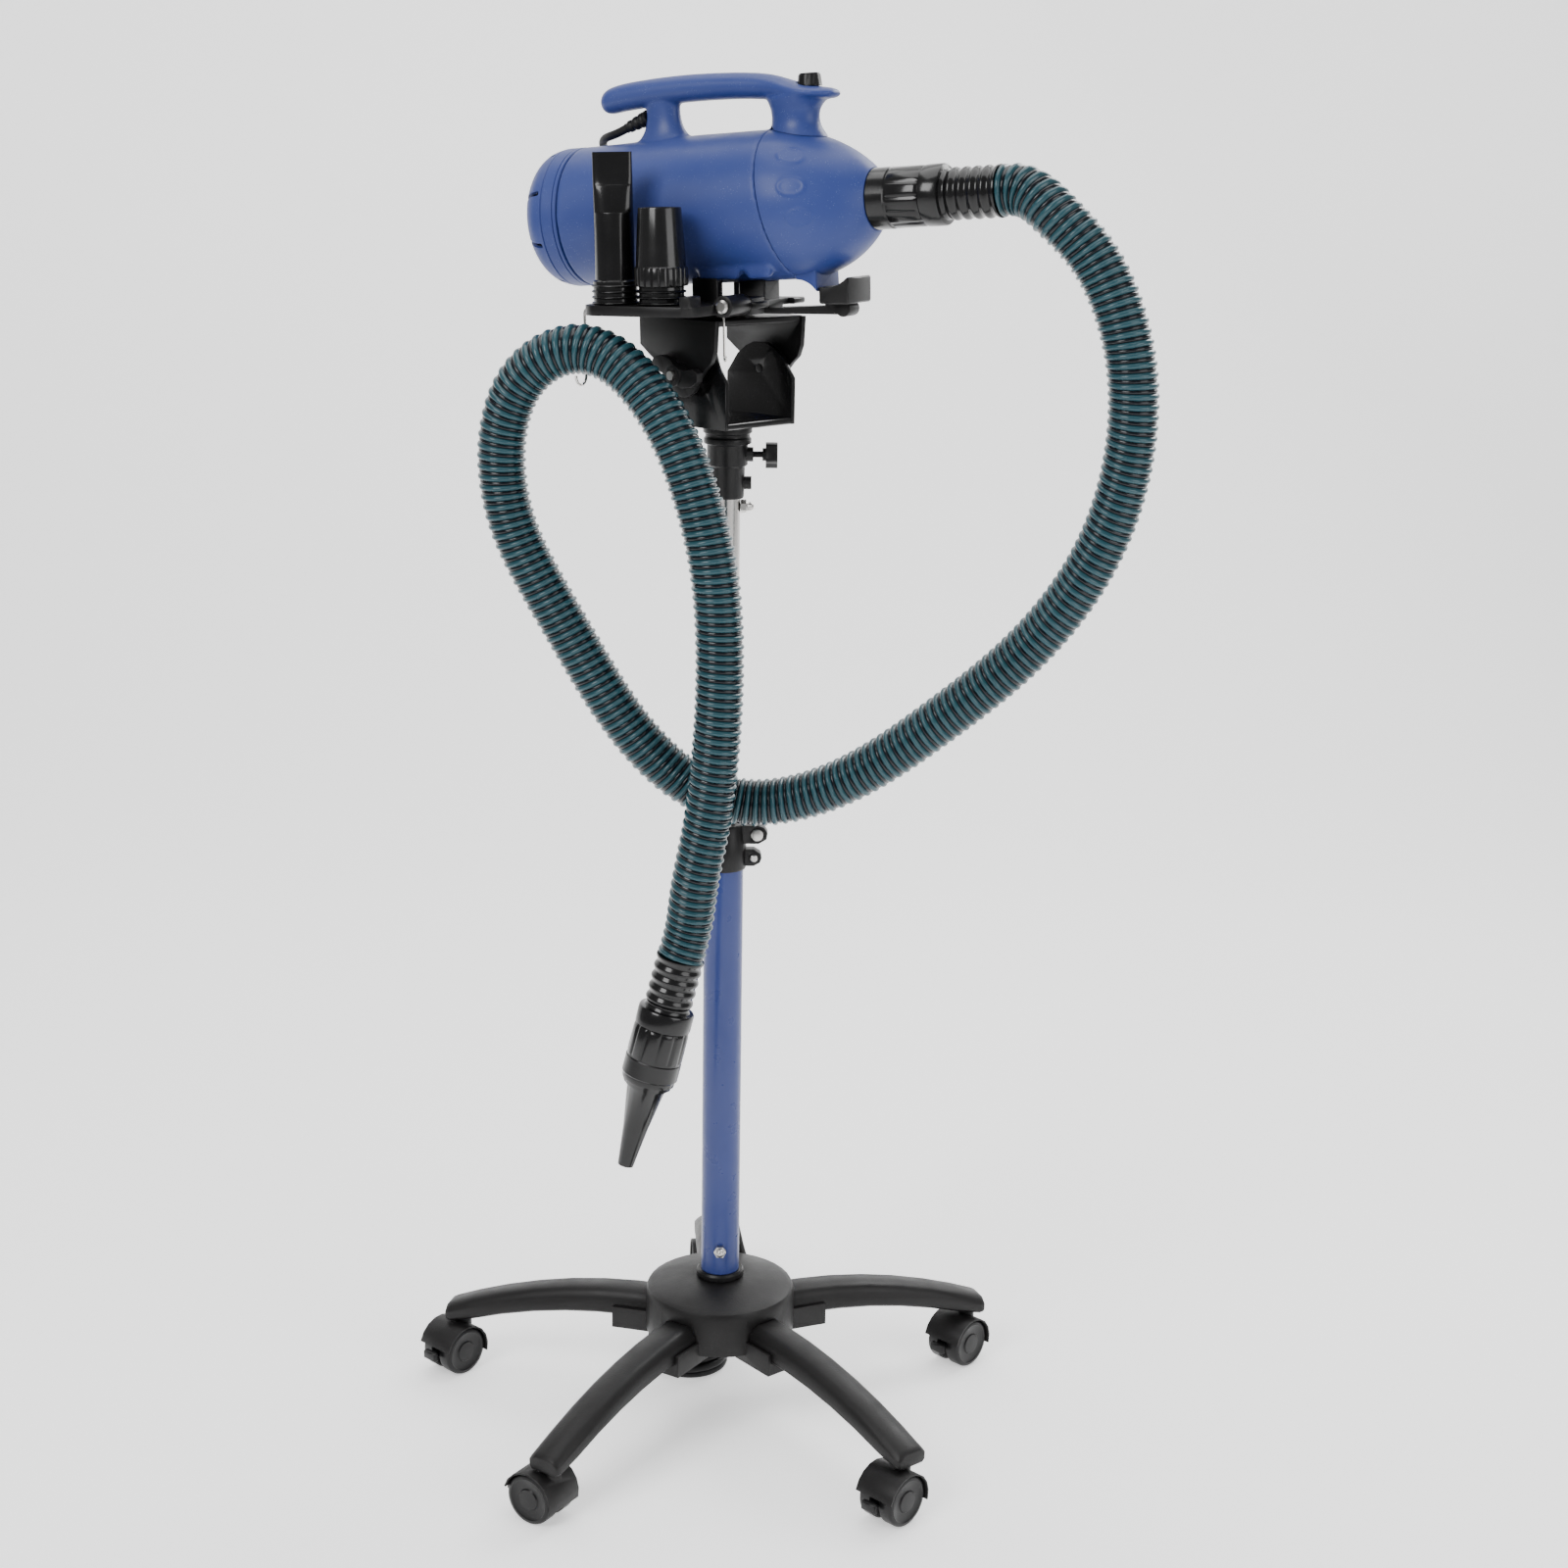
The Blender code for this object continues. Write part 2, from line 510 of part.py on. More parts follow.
def make_tilt_yoke(mount):
    """Yoke that carries the cradle, the pin and the nut with a stud that it tilts on, and the lever."""
    inner_x, wall = 0.0530, 0.0050
    yoke = block((-inner_x - wall, -0.0390, 0.0445), (inner_x + wall, 0.0560, 0.0505), 0.0012)
    near = [(-0.0290, 0.0060), (-0.0370, 0.0130), (-0.0410, 0.0235), (-0.0425, 0.0500)]
    far = [(0.0575, 0.0500), (0.0565, 0.0235), (0.0440, 0.0150), (0.0290, 0.0060)]
    foot = [(0.0205 * math.cos(a), 0.0205 * math.sin(a)) for a in np.radians(range(-10, -171, -20))]
    cheek = far + foot + near
    for side in (-1, 1):
        yoke = union(yoke, upright(cheek, wall, side * (inner_x + wall / 2) - wall / 2))
        yoke = union(yoke, rod(0.0100, (side * 0.0454, 0, 0), (side * (inner_x + 0.001), 0, 0), 18))
    yoke = cut(yoke, rod(0.0045, (-0.07, 0, 0), (0.07, 0, 0)))
    place("tilt_yoke", yoke, "black_plastic", mount)
    inner_end, outer_end, radius = 0.0402, 0.0740, 0.0042
    place("tilt_pin", rod(radius, (-outer_end, 0, 0), (-inner_end, 0, 0), 14), "zinc_steel", mount)
    profile = [(0.0085, 0.0583), (0.0090, 0.0610), (0.0090, 0.0690), (0.0075, 0.0725)]
    nut = turned(lathe(profile, 16), (1, 0, 0))
    stud = rod(radius, (inner_end, 0, 0), (0.0600, 0, 0), 14)
    place("tilt_nut", union(nut, stud), "black_plastic", mount)
    hub = tube(0.0098, 0.0045, -0.0710, -0.0583, 20)
    wing = [(0.0, 0.0075), (0.0130, 0.0078), (0.0240, 0.0030), (0.0300, -0.0040), (0.0290, -0.0110),
            (0.0220, -0.0130), (0.0130, -0.0085), (0.0, -0.0075)]
    wings = []
    for turn in (math.radians(128), math.radians(284)):
        arm = moved(plate(wing, 0.0075), (0, 0, -0.0690))
        arm.transform(Matrix.Rotation(turn, 4, "Z"))
        wings.append(arm)
    lever = cut(union(hub, *wings), rod(0.0045, (0, 0, -0.09), (0, 0, -0.04), 20))
    place("tilt_lever", turned(lever, (1, 0, 0)), "black_plastic", mount)


def in_cradle(mesh):
    """A shape given on the dryer, as the cradle's frame sees it."""
    mesh.transform(Matrix.Rotation(CRADLE_PITCH - DRYER_PITCH, 4, "Y"))
    return mesh


def in_dryer(mesh):
    """A shape given on the cradle, as the dryer's frame sees it."""
    mesh.transform(Matrix.Rotation(DRYER_PITCH - CRADLE_PITCH, 4, "Y"))
    return mesh


def make_cradle(cradle):
    """Cradle plate, its spine with two cups and a pad for the front foot, and side walls."""
    plate_body = block((-0.0450, -0.0470, SPINE_TOP - 0.0055), (0.0520, 0.0470, SPINE_TOP), 0.0012)
    half = [(-0.0400, 0.0140), (0.0450, 0.0130), (0.1180, 0.0085), (0.1210, 0.0060)]
    outline = [(x, -y) for x, y in half] + [(x, y) for x, y in reversed(half)]
    spine = moved(plate(outline, 0.0120), (0, 0, SPINE_TOP - 0.0120))
    tip = rod(0.0070, (0.1180, -0.0100, SPINE_TOP - 0.0070), (0.1180, 0.0100, SPINE_TOP - 0.0070), 16)
    cups = [block((low, -half_y, SPINE_TOP - 0.002), (high, half_y, top), 0.0015)
            for (low, high), half_y, top in ((CUP_REAR, 0.0150, -0.0610), (CUP_FRONT, 0.0240, -0.0590))]
    dish = rod(0.0300, (CUP_FRONT[0] + 0.006, -0.03, -0.0385), (CUP_FRONT[0] + 0.006, 0.03, -0.0385), 28)
    pad = rod(0.0165, (0.0785, 0, SPINE_TOP - 0.001), (0.0785, 0, -0.0750), 20)
    walls = [
        block((-0.0160, y - 0.0055, SPINE_TOP - 0.001), (0.0100, y + 0.0055, -0.0600), 0.0010)
        for y in (-0.0390, 0.0390)
    ]
    boss = rod(0.0220, (0, 0, -0.0945), (0, 0, SPINE_TOP - 0.001), 24)
    lug = block((0.0250, -0.0460, -0.0920), (0.0450, -0.0200, SPINE_TOP + 0.0040), 0.0010)
    body = turned(lathe([(BODY_R + 0.0008, -0.12), (BODY_R + 0.0008, 0.09)], 36), (1, 0, 0))
    rails = [in_cradle(foot) for foot in foot_blocks(0.0008)]
    bore = rod(0.0034, (SCREW_AT[0], -0.07, SCREW_AT[1]), (SCREW_AT[0], -0.0300, SCREW_AT[1]))
    shape = union(plate_body, spine, tip, *cups, pad, *walls, boss, lug)
    place("cradle", cut(shape, in_cradle(body), *rails, bore, dish), "black_plastic", cradle)


def make_tray(cradle):
    """Accessory tray beside the cradle, with a post for each spare nozzle."""
    left, radius = FLAT_NOZZLE_AT, TRAY_END_R
    outline = [
        (left[0] + radius * math.cos(a), left[1] + radius * math.sin(a))
        for a in np.radians(range(140, 271, 22))
    ]
    outline += [(0.0180, left[1] - radius), (0.0260, left[1] - 0.0230), (0.0290, left[1] - 0.0170),
                (0.0290, -0.0473), (-0.0440, -0.0473), (-0.0760, -0.0640)]
    tray = moved(plate(outline, TRAY_THICKNESS), (0, 0, TRAY_TOP - TRAY_THICKNESS))
    posts = []
    for x, y in (FLAT_NOZZLE_AT, WIDE_NOZZLE_AT):
        posts.append(moved(lathe([(0.0150, TRAY_TOP - 0.002), (0.0150, TRAY_TOP + 0.0150),
                                  (0.0135, TRAY_TOP + 0.0170)], 20), (x, y, 0)))
    x, z = SCREW_AT
    knuckle = rod(0.0095, (x, -0.0830, z), (x, -0.0475, z), 20)
    x_lug, y_lug = SPARE_HOOK_AT
    lug = block((x_lug - 0.005, y_lug - 0.006, -0.0935), (x_lug + 0.005, y_lug + 0.006, -0.0860), 0.0008)
    near = left[1] - radius + 0.0004
    stop = block((0.0160, near, TRAY_TOP - 0.001), (0.0265, left[1] - 0.006, TRAY_TOP + 0.0090), 0.0010)
    end = left[0] - radius
    hook_bore = rod(0.0017, (end - 0.01, left[1], -0.0855), (end + 0.0060, left[1], -0.0855), 10)
    holes = [
        rod(0.0034, (x, -0.20, z), (x, -0.0400, z)),
        hook_bore,
        rod(0.0015, (x_lug, y_lug, -0.11), (x_lug, y_lug, -0.0890), 10),
    ]
    place("accessory_tray", cut(union(tray, knuckle, lug, stop, *posts), *holes), "black_plastic", cradle)
    screw = turned(lathe([(0.0030, 0.0320), (0.0030, 0.0833), (0.0060, 0.0833), (0.0060, 0.0852),
                          (0.0042, 0.0868)], 16), (0, -1, 0))
    place("tray_screw", moved(screw, (x, 0, z)), "zinc_steel", cradle)


def wire(points, radius, segments=8):
    """A bent round wire along points."""
    points = [Vector(point) for point in points]
    ahead, behind = points[1:] + points[-1:], points[:1] + points[:-1]
    tangents = [(after - before).normalized() for after, before in zip(ahead, behind)]
    side = tangents[0].orthogonal().normalized()
    rings = []
    for point, along in zip(points, tangents):
        side = (side - along * side.dot(along)).normalized()
        other = along.cross(side)
        rings.append([
            point + radius * (math.cos(a) * side + math.sin(a) * other)
            for a in (2 * math.pi * k / segments for k in range(segments))
        ])
    return loft(rings)


def hook_curl(start, radius, direction):
    """Half a turn of wire from start, down and back up in the given direction."""
    points = []
    for i in range(1, 8):
        angle = math.pi * i / 7
        down = Vector((0, 0, radius * math.sin(angle)))
        points.append(Vector(start) + Vector(direction) * radius * (1 - math.cos(angle)) - down)
    return points


def make_hooks(cradle):
    """Wire hooks on the tray: the one that carries the hose, and a spare."""
    bend, drop, curl = 0.0035, 0.0580, 0.0090
    path = [Vector((0.0075, 0, 0)), Vector((0.0, 0, 0))]
    path += [Vector((-bend * math.sin(a), 0, -bend * (1 - math.cos(a)))) for a in np.radians((30, 60, 90))]
    path.append(Vector((-bend, 0, -drop)))
    path += hook_curl(path[-1], curl, (0, -1, 0))
    left = FLAT_NOZZLE_AT[0] - TRAY_END_R
    at = (left - 0.0022, FLAT_NOZZLE_AT[1], -0.0855)
    place("hose_hook", wire(path, 0.0013), "chromed_steel", cradle, at)
    path = [Vector((0, 0, 0.0035)), Vector((0, 0, 0.0)), Vector((0, 0, -0.0340))]
    path += hook_curl(path[-1], 0.0040, (0.60, -0.80, 0))
    place("spare_hook", wire(path, 0.0011), "chromed_steel", cradle, (*SPARE_HOOK_AT, -0.0935))


# ------------------------------------------------------------- the dryer

def body_radius(x):
    """Radius of the main shell, which widens a little from the rear to the seam."""
    share = (x - BODY_REAR) / (BODY_SEAM - BODY_REAR)
    return REAR_R + (BODY_R - REAR_R) * min(max(share * 1.6, 0.0), 1.0)


def dome_radius(x):
    reach = min(max((x - BODY_SEAM) / DOME_LENGTH, 0.0), 1.0)
    return BODY_R * (1.0 - reach ** DOME_SHOULDER) ** DOME_CROWN


def dome_stations():
    steps = DOME_STEPS
    return [BODY_SEAM + (NOSE_X - BODY_SEAM) * math.sin(i / steps * math.pi / 2) for i in range(steps + 1)]


def axial_ring(radius, x, lean=0.0, segments=28):
    """A ring about the dryer's axis; lean slants it, its top towards the rear."""
    ring = []
    for i in range(segments):
        angle = 2 * math.pi * i / segments
        y, z = radius * math.cos(angle), radius * math.sin(angle)
        ring.append(Vector((x - lean * z, y, z)))
    return ring


def dome_rings(swell, least=0.0):
    """The dome's outline as rings, the first one on the slanted seam."""
    return [
        axial_ring(max(dome_radius(x) + swell, least), x, SEAM_LEAN * (1 - i / DOME_STEPS))
        for i, x in enumerate(dome_stations())
    ]


def oval(centre, half_x, half_y, segments=14):
    """A level oval ring of points."""
    return [
        Vector((centre[0] + half_x * math.cos(a), centre[1] + half_y * math.sin(a), centre[2]))
        for a in (2 * math.pi * i / segments for i in range(segments))
    ]


def foot_blocks(swell):
    """The body's feet: a rail on each side with a notch in its lower edge, and the front foot."""
    feet = []
    for side in (-1, 1):
        outline = [(-0.0140 - swell, -0.0450), (-0.0140 - swell, -0.0620 - swell), (0.0240, -0.0625 - swell),
                   (0.0310, -0.0540 - swell), (0.0380, -0.0625 - swell), (0.0590 + swell, -0.0620 - swell),
                   (0.0590 + swell, -0.0450)]
        rail = plate(outline, 0.0090 + 2 * swell)
        far = side * 0.0385 + 0.0045 + swell
        rail.transform(Matrix(((1, 0, 0, 0), (0, 0, -1, far), (0, 1, 0, 0), (0, 0, 0, 1))))
        feet.append(rail)
    feet.append(block((0.0425 - swell, -0.0240 - swell, -0.0900), (0.0950 + swell, 0.0240 + swell, -0.0500)))
    return feet


def handle_bar():
    """Grip along the top: centre line, half height and half width from tail to the knob's lip."""
    stations = [
        (-0.1240, 0.1005, 0.0045, 0.0055), (-0.1218, 0.1008, 0.0085, 0.0100),
        (-0.1170, 0.1015, 0.0112, 0.0135), (-0.1080, 0.1030, 0.0122, 0.0148),
        (-0.0850, 0.1052, 0.0125, 0.0150), (-0.0580, 0.1066, 0.0124, 0.0150),
        (-0.0320, 0.1071, 0.0122, 0.0150), (-0.0020, 0.1065, 0.0119, 0.0150),
        (0.0280, 0.1048, 0.0116, 0.0152), (0.0550, 0.1012, 0.0108, 0.0172),
        (0.0720, 0.0975, 0.0088, 0.0212), (0.0880, 0.0948, 0.0066, 0.0232),
        (0.1010, 0.0934, 0.0054, 0.0205), (0.1100, 0.0926, 0.0044, 0.0145),
        (0.1145, 0.0922, 0.0026, 0.0070),
    ]
    rings = []
    for x, z, half_height, half_width in stations:
        ring = []
        for i in range(14):
            angle = 2 * math.pi * i / 14
            ring.append(Vector((x, half_width * math.cos(angle), z + half_height * math.sin(angle))))
        rings.append(ring)
    return loft(rings)


def make_housing(dryer):
    """Main shell of the dryer with its handle, posts and side feet."""
    stations = [BODY_REAR, -0.110, -0.060, -0.015]
    outer = [axial_ring(body_radius(x), x) for x in stations]
    inner = [axial_ring(body_radius(x) - BODY_WALL, x) for x in stations]
    front = [axial_ring(r, BODY_SEAM - GAP, SEAM_LEAN) for r in (BODY_R, BODY_R - BODY_WALL)]
    shell = loft(outer + front + inner[::-1], closed=True)
    rear_post = loft([
        oval((-0.0620, 0, 0.0560), 0.0330, 0.0200), oval((-0.0620, 0, 0.0620), 0.0285, 0.0175),
        oval((-0.0620, 0, 0.0680), 0.0230, 0.0145), oval((-0.0620, 0, 0.0760), 0.0185, 0.0120),
        oval((-0.0620, 0, 0.0880), 0.0165, 0.0110), oval((-0.0620, 0, 0.1040), 0.0175, 0.0115),
    ])
    front_post = loft([
        oval((0.0740, 0, 0.0480), 0.0310, 0.0260), oval((0.0730, 0, 0.0585), 0.0270, 0.0225),
        oval((0.0722, 0, 0.0660), 0.0235, 0.0190), oval((0.0722, 0, 0.0740), 0.0222, 0.0175),
        oval((0.0730, 0, 0.0820), 0.0235, 0.0185), oval((0.0750, 0, 0.0880), 0.0275, 0.0205),
        oval((0.0775, 0, 0.0930), 0.0320, 0.0225),
    ])
    dome_space = loft([axial_ring(BODY_R + 0.0006, BODY_SEAM - 0.0002, SEAM_LEAN)] + dome_rings(0.0006)[1:])
    front_post = cut(front_post, dome_space)
    hollow = turned(lathe([(BODY_R - BODY_WALL, BODY_REAR), (BODY_R - BODY_WALL, 0.12)], 36), (1, 0, 0))
    rails = [cut(foot, hollow) for foot in foot_blocks(0.0)[:2]]
    spindle_bore = rod(0.0036, (KNOB_AT[0], 0, 0.05), (KNOB_AT[0], 0, 0.12))
    recess = rod(0.0125, (KNOB_AT[0], 0, KNOB_AT[2] - GAP), (KNOB_AT[0], 0, 0.12), 24)
    relief_seat = rod(0.0073, RELIEF_AT - RELIEF_AXIS * GAP, RELIEF_AT + RELIEF_AXIS * 0.02, 16)
    housing = union(shell, handle_bar(), rear_post, front_post, *rails)
    place("main_housing", cut(housing, spindle_bore, recess, relief_seat), "blue_shell", dryer)


def make_dome(dryer):
    """Front dome, a shell that ends in the outlet hole, with the front foot."""
    hole = SPIGOT_R + 0.0004
    outer = dome_rings(0.0)
    inner = []
    for i, x in enumerate(dome_stations()[:-1]):
        radius = max(dome_radius(x) - BODY_WALL, hole)
        inner.append(axial_ring(radius, min(x, NOSE_X - BODY_WALL), SEAM_LEAN * (1 - i / DOME_STEPS)))
    nose = [axial_ring(hole, NOSE_X), axial_ring(hole, NOSE_X - BODY_WALL)]
    dome = loft(outer + nose + inner[::-1], closed=True)
    rear = loft([axial_ring(0.12, -0.05, SEAM_LEAN, 24), axial_ring(0.12, BODY_SEAM + GAP, SEAM_LEAN, 24)])
    hollow = loft(dome_rings(-0.0015, hole))
    arch = rod(0.0235, (0.0750, -0.05, -0.0890), (0.0750, 0.05, -0.0890), 24)
    level = in_dryer(block((-0.20, -0.10, -0.14), (0.20, 0.10, SPINE_TOP + GAP)))
    foot = cut(foot_blocks(0.0)[2], rear, hollow, arch, level)
    spindle_bore = rod(0.0036, (KNOB_AT[0], 0, 0.04), (KNOB_AT[0], 0, 0.09))
    place("front_dome", cut(union(dome, foot), spindle_bore), "blue_shell", dryer)


def make_rear_cap(dryer):
    """Rear intake cap with louvres around its shoulder."""
    front, wall = BODY_REAR - GAP, 0.0030
    profile = [(REAR_R, front), (REAR_R, -0.1585), (REAR_R - 0.0012, -0.1595), (REAR_R - 0.0022, -0.1680),
               (0.0570, -0.1790), (0.0460, -0.1885), (0.0040, CAP_END)]
    inside = [(0.0040, CAP_END + wall), (0.0440, -0.1857), (0.0540, -0.1768), (REAR_R - 0.0035, -0.1620),
              (REAR_R - 0.0035, front)]
    cap = turned(lathe(profile + inside, 30, closed=True), (1, 0, 0))
    slots = []
    count = 8
    for i in range(count):
        slot = block((-0.1960, 0.0330, -0.0022), (-0.1665, 0.0700, 0.0022))
        slot.transform(Matrix.Rotation(2 * math.pi * (i + 0.5) / count, 4, "X"))
        slots.append(slot)
    place("rear_cap", cut(cap, *slots), "blue_shell", dryer)


def make_insides(dryer):
    """Intake filter, motor, impeller on its shaft, and the speed control."""
    filter_disc = turned(lathe([(0.0050, -0.1580), (0.0570, -0.1580), (0.0570, -0.1500), (0.0050, -0.1500)],
                               24, closed=True), (1, 0, 0))
    place("intake_filter", filter_disc, "filter_foam", dryer)
    motor = turned(lathe([
        (0.0150, -0.0900), (0.0400, -0.0820), (0.0440, -0.0780), (0.0440, -0.0020), (0.0618, -0.0020),
        (0.0618, 0.0030), (0.0440, 0.0030), (0.0440, 0.0060), (0.0120, 0.0100), (0.0120, 0.0130),
        (0.0046, 0.0130), (0.0046, -0.0100), (0.0020, -0.0100),
    ], 24), (1, 0, 0))
    ports = []
    for i in range(4):
        port = block((-0.010, 0.047, -0.012), (0.010, 0.060, 0.012))
        port.transform(Matrix.Rotation(math.radians(90 * i + 45), 4, "X"))
        ports.append(port)
    place("motor", cut(motor, *ports), "motor_can", dryer)

    blades = 8
    outline = []
    for i in range(blades):
        for turn, radius in ((0.0, 0.0160), (0.22, 0.0480), (0.31, 0.0480), (0.14, 0.0160)):
            angle = 2 * math.pi * i / blades + turn
            outline.append((radius * math.cos(angle), radius * math.sin(angle)))
    wheel = moved(plate(outline, 0.0110), (0, 0, 0.0165))
    back = lathe([(0.0500, 0.0150), (0.0500, 0.0170)], 24)
    shaft = lathe([(0.0040, -0.0080), (0.0040, 0.0310)], 12)
    place("impeller", turned(union(back, wheel, shaft), (1, 0, 0)), "impeller_alloy", dryer)

    control = block((0.0760, -0.0110, 0.0240), (0.0980, 0.0110, 0.0400), 0.0010)
    place("speed_control", control, "black_plastic", dryer)


def make_speed_knob(dryer):
    """Fluted speed knob on a spindle that reaches down to the control."""
    flutes = 10
    rings = []
    for radius, z in ((0.0112, 0.0), (0.0108, 0.0016), (0.0100, 0.0092), (0.0088, 0.0110)):
        ring = []
        for i in range(flutes * 3):
            groove = 0.0009 if i % 3 == 0 and 0.0 < z < 0.0110 else 0.0
            angle = 2 * math.pi * i / (flutes * 3)
            ring.append(Vector(((radius - groove) * math.cos(angle), (radius - groove) * math.sin(angle), z)))
        rings.append(ring)
    spindle = lathe([(0.0030, 0.0404 - KNOB_AT[2]), (0.0030, 0.0050)], 10)
    place("speed_knob", union(loft(rings), spindle), "black_plastic", dryer, KNOB_AT)


def make_strain_relief(dryer):
    """Ribbed, tapered sleeve where the mains cord leaves the rear post."""
    profile = [(0.0070, 0.0), (0.0070, 0.0030)]
    for i in range(3):
        start = 0.0040 + i * 0.0072
        radius = 0.0068 - 0.0007 * i
        profile += [(radius - 0.0012, start), (radius, start + 0.0012), (radius, start + 0.0046),
                    (radius - 0.0014, start + 0.0060)]
    profile += [(0.0046, RELIEF_LENGTH)]
    relief = turned(lathe(profile, 16), RELIEF_AXIS)
    place("strain_relief", relief, "black_rubber", dryer, RELIEF_AT)


def make_outlet(dryer):
    """Outlet spigot inside the nose."""
    spigot = turned(lathe([
        (0.0200, 0.1220), (0.0290, 0.1220), (0.0290, 0.1250), (SPIGOT_R, 0.1250), (SPIGOT_R, 0.1770),
        (0.0205, 0.1790), (0.0200, 0.1790),
    ], 24, closed=True), (1, 0, 0))
    place("outlet_spigot", spigot, "black_plastic", dryer)


# --------------------------------------------------------- hose and nozzles

def cuff_mesh():
    """Fluted cuff with a corrugated tail, along +Z from its collar to the hose."""
    start, bore, segments = CUFF_START, SPIGOT_R + 0.0004, 20
    collar_end = start + 0.0175
    collar = [(bore, start), (CUFF_R, start), (CUFF_R, collar_end), (0.0258, collar_end + 0.001)]
    fluted = [(0.0267, collar_end + 0.0020), (0.0262, CUFF_END - 0.0200)]
    after = [(0.0266, CUFF_END - 0.0180), (0.0266, CUFF_END - 0.0010), (0.0236, CUFF_END)]
    ribs = 4
    pitch = (TAIL_END - CUFF_END) / ribs
    for i in range(ribs):
        after += [(0.0228, CUFF_END + (i + 0.45) * pitch), (0.0212, CUFF_END + (i + 0.95) * pitch)]
    inner = [(0.0190, TAIL_END), (0.0190, 0.1860), (bore, 0.1820)]
    rings = [circle(r, z, segments) for r, z in collar]
    for radius, z in fluted:
        ring = circle(radius, z, segments)
        rings.append([p if i % 2 else Vector((p.x * 0.95, p.y * 0.95, p.z)) for i, p in enumerate(ring)])
    rings += [circle(r, z, segments) for r, z in after + inner]
    return loft(rings, closed=True)


def make_hose(stand, dryer, tool):
    """Hose from the dryer's cuff, over the tray's hook, down to the tool cuff with its nozzle."""
    place("dryer_cuff", turned(cuff_mesh(), (1, 0, 0)), "gloss_black", dryer)
    place("tool_cuff", moved(cuff_mesh(), (0, 0, -TAIL_END)), "gloss_black", tool)
    end = CUFF_START - TAIL_END
    nozzle = lathe([
        (0.0175, end + 0.0250), (0.0228, end + 0.0250), (0.0228, end - 0.0006), (0.0254, end - 0.0006),
        (0.0254, end - 0.0050), (0.0236, end - 0.0065), (0.0232, end - 0.0090), (0.0185, end - 0.0130),
        (0.0120, end - 0.0540), (0.0076, end - 0.0930), (0.0060, end - 0.0930), (0.0064, end - 0.0890),
        (0.0150, end - 0.0160),
    ], 20, closed=True)
    place("cone_nozzle", nozzle, "gloss_black", tool)

    turn = Euler(TOOL_TURN).to_matrix()
    start = dryer_point((TAIL_END + GAP, 0, 0))
    lead = dryer_point((TAIL_END + 0.015, 0, 0))
    tail = Vector(TOOL_AT) + turn @ Vector((0, 0, 0.030))
    end = Vector(TOOL_AT) + turn @ Vector((0, 0, GAP))
    points = [start, *smooth_points([lead, *HOSE_ROUTE, tail], 0.040), end]
    flexible("hose_tube", points, HOSE_D, "hose_teal", stand, 2)


def dryer_point(local):
    """A point on the dryer, as the stand sees it."""
    turn = Euler((0.0, -DRYER_PITCH, DRYER_YAW)).to_matrix()
    return Vector((0, 0, DRYER_Z)) + turn @ Vector(local)





def make_mains_cord(stand, floor):
    """Mains cord from the strain relief down behind the pole to its coil, with its plug."""
    tip = dryer_point(RELIEF_AT + RELIEF_AXIS * (RELIEF_LENGTH + GAP))
    lead = dryer_point(RELIEF_AT + RELIEF_AXIS * (RELIEF_LENGTH + 0.0130))
    points = [tip, *smooth_points([lead, *CORD_ROUTE], 0.026)]
    flexible("mains_cord", points, CORD_D, "black_rubber", stand, 2)
    low, high, inner, outer = 0.0030, COIL_HEIGHT - 0.0030, COIL_INNER, COIL_OUTER
    coil = lathe([
        (inner + 0.002, 0.0), (outer - 0.002, 0.0), (outer, low), (outer, high), (outer - 0.002, COIL_HEIGHT),
        (inner + 0.002, COIL_HEIGHT), (inner, high), (inner, low),
    ], 24, closed=True)
    place("cord_coil", coil, "black_rubber", floor, (*COIL_AT, 0.0))

    body = block((-0.0160, -0.0125, 0.0), (0.0160, 0.0125, 0.0200), 0.0030, 2)
    boot = moved(turned(lathe([(0.0065, 0.0), (0.0048, 0.0150)], 14), (-1, 0, 0)), (-0.0150, 0, 0.0100))
    blades = [block((0.0150, y - 0.0008, 0.0065), (0.0320, y + 0.0008, 0.0128)) for y in (-0.0063, 0.0063)]
    ground = rod(0.0024, (0.0150, 0, 0.0165), (0.0350, 0, 0.0165), 10)
    plug = union(body, boot, *blades, ground)
    place("mains_plug", plug, "black_rubber", floor, (COIL_AT[0] - 0.006, COIL_AT[1], COIL_HEIGHT + GAP))


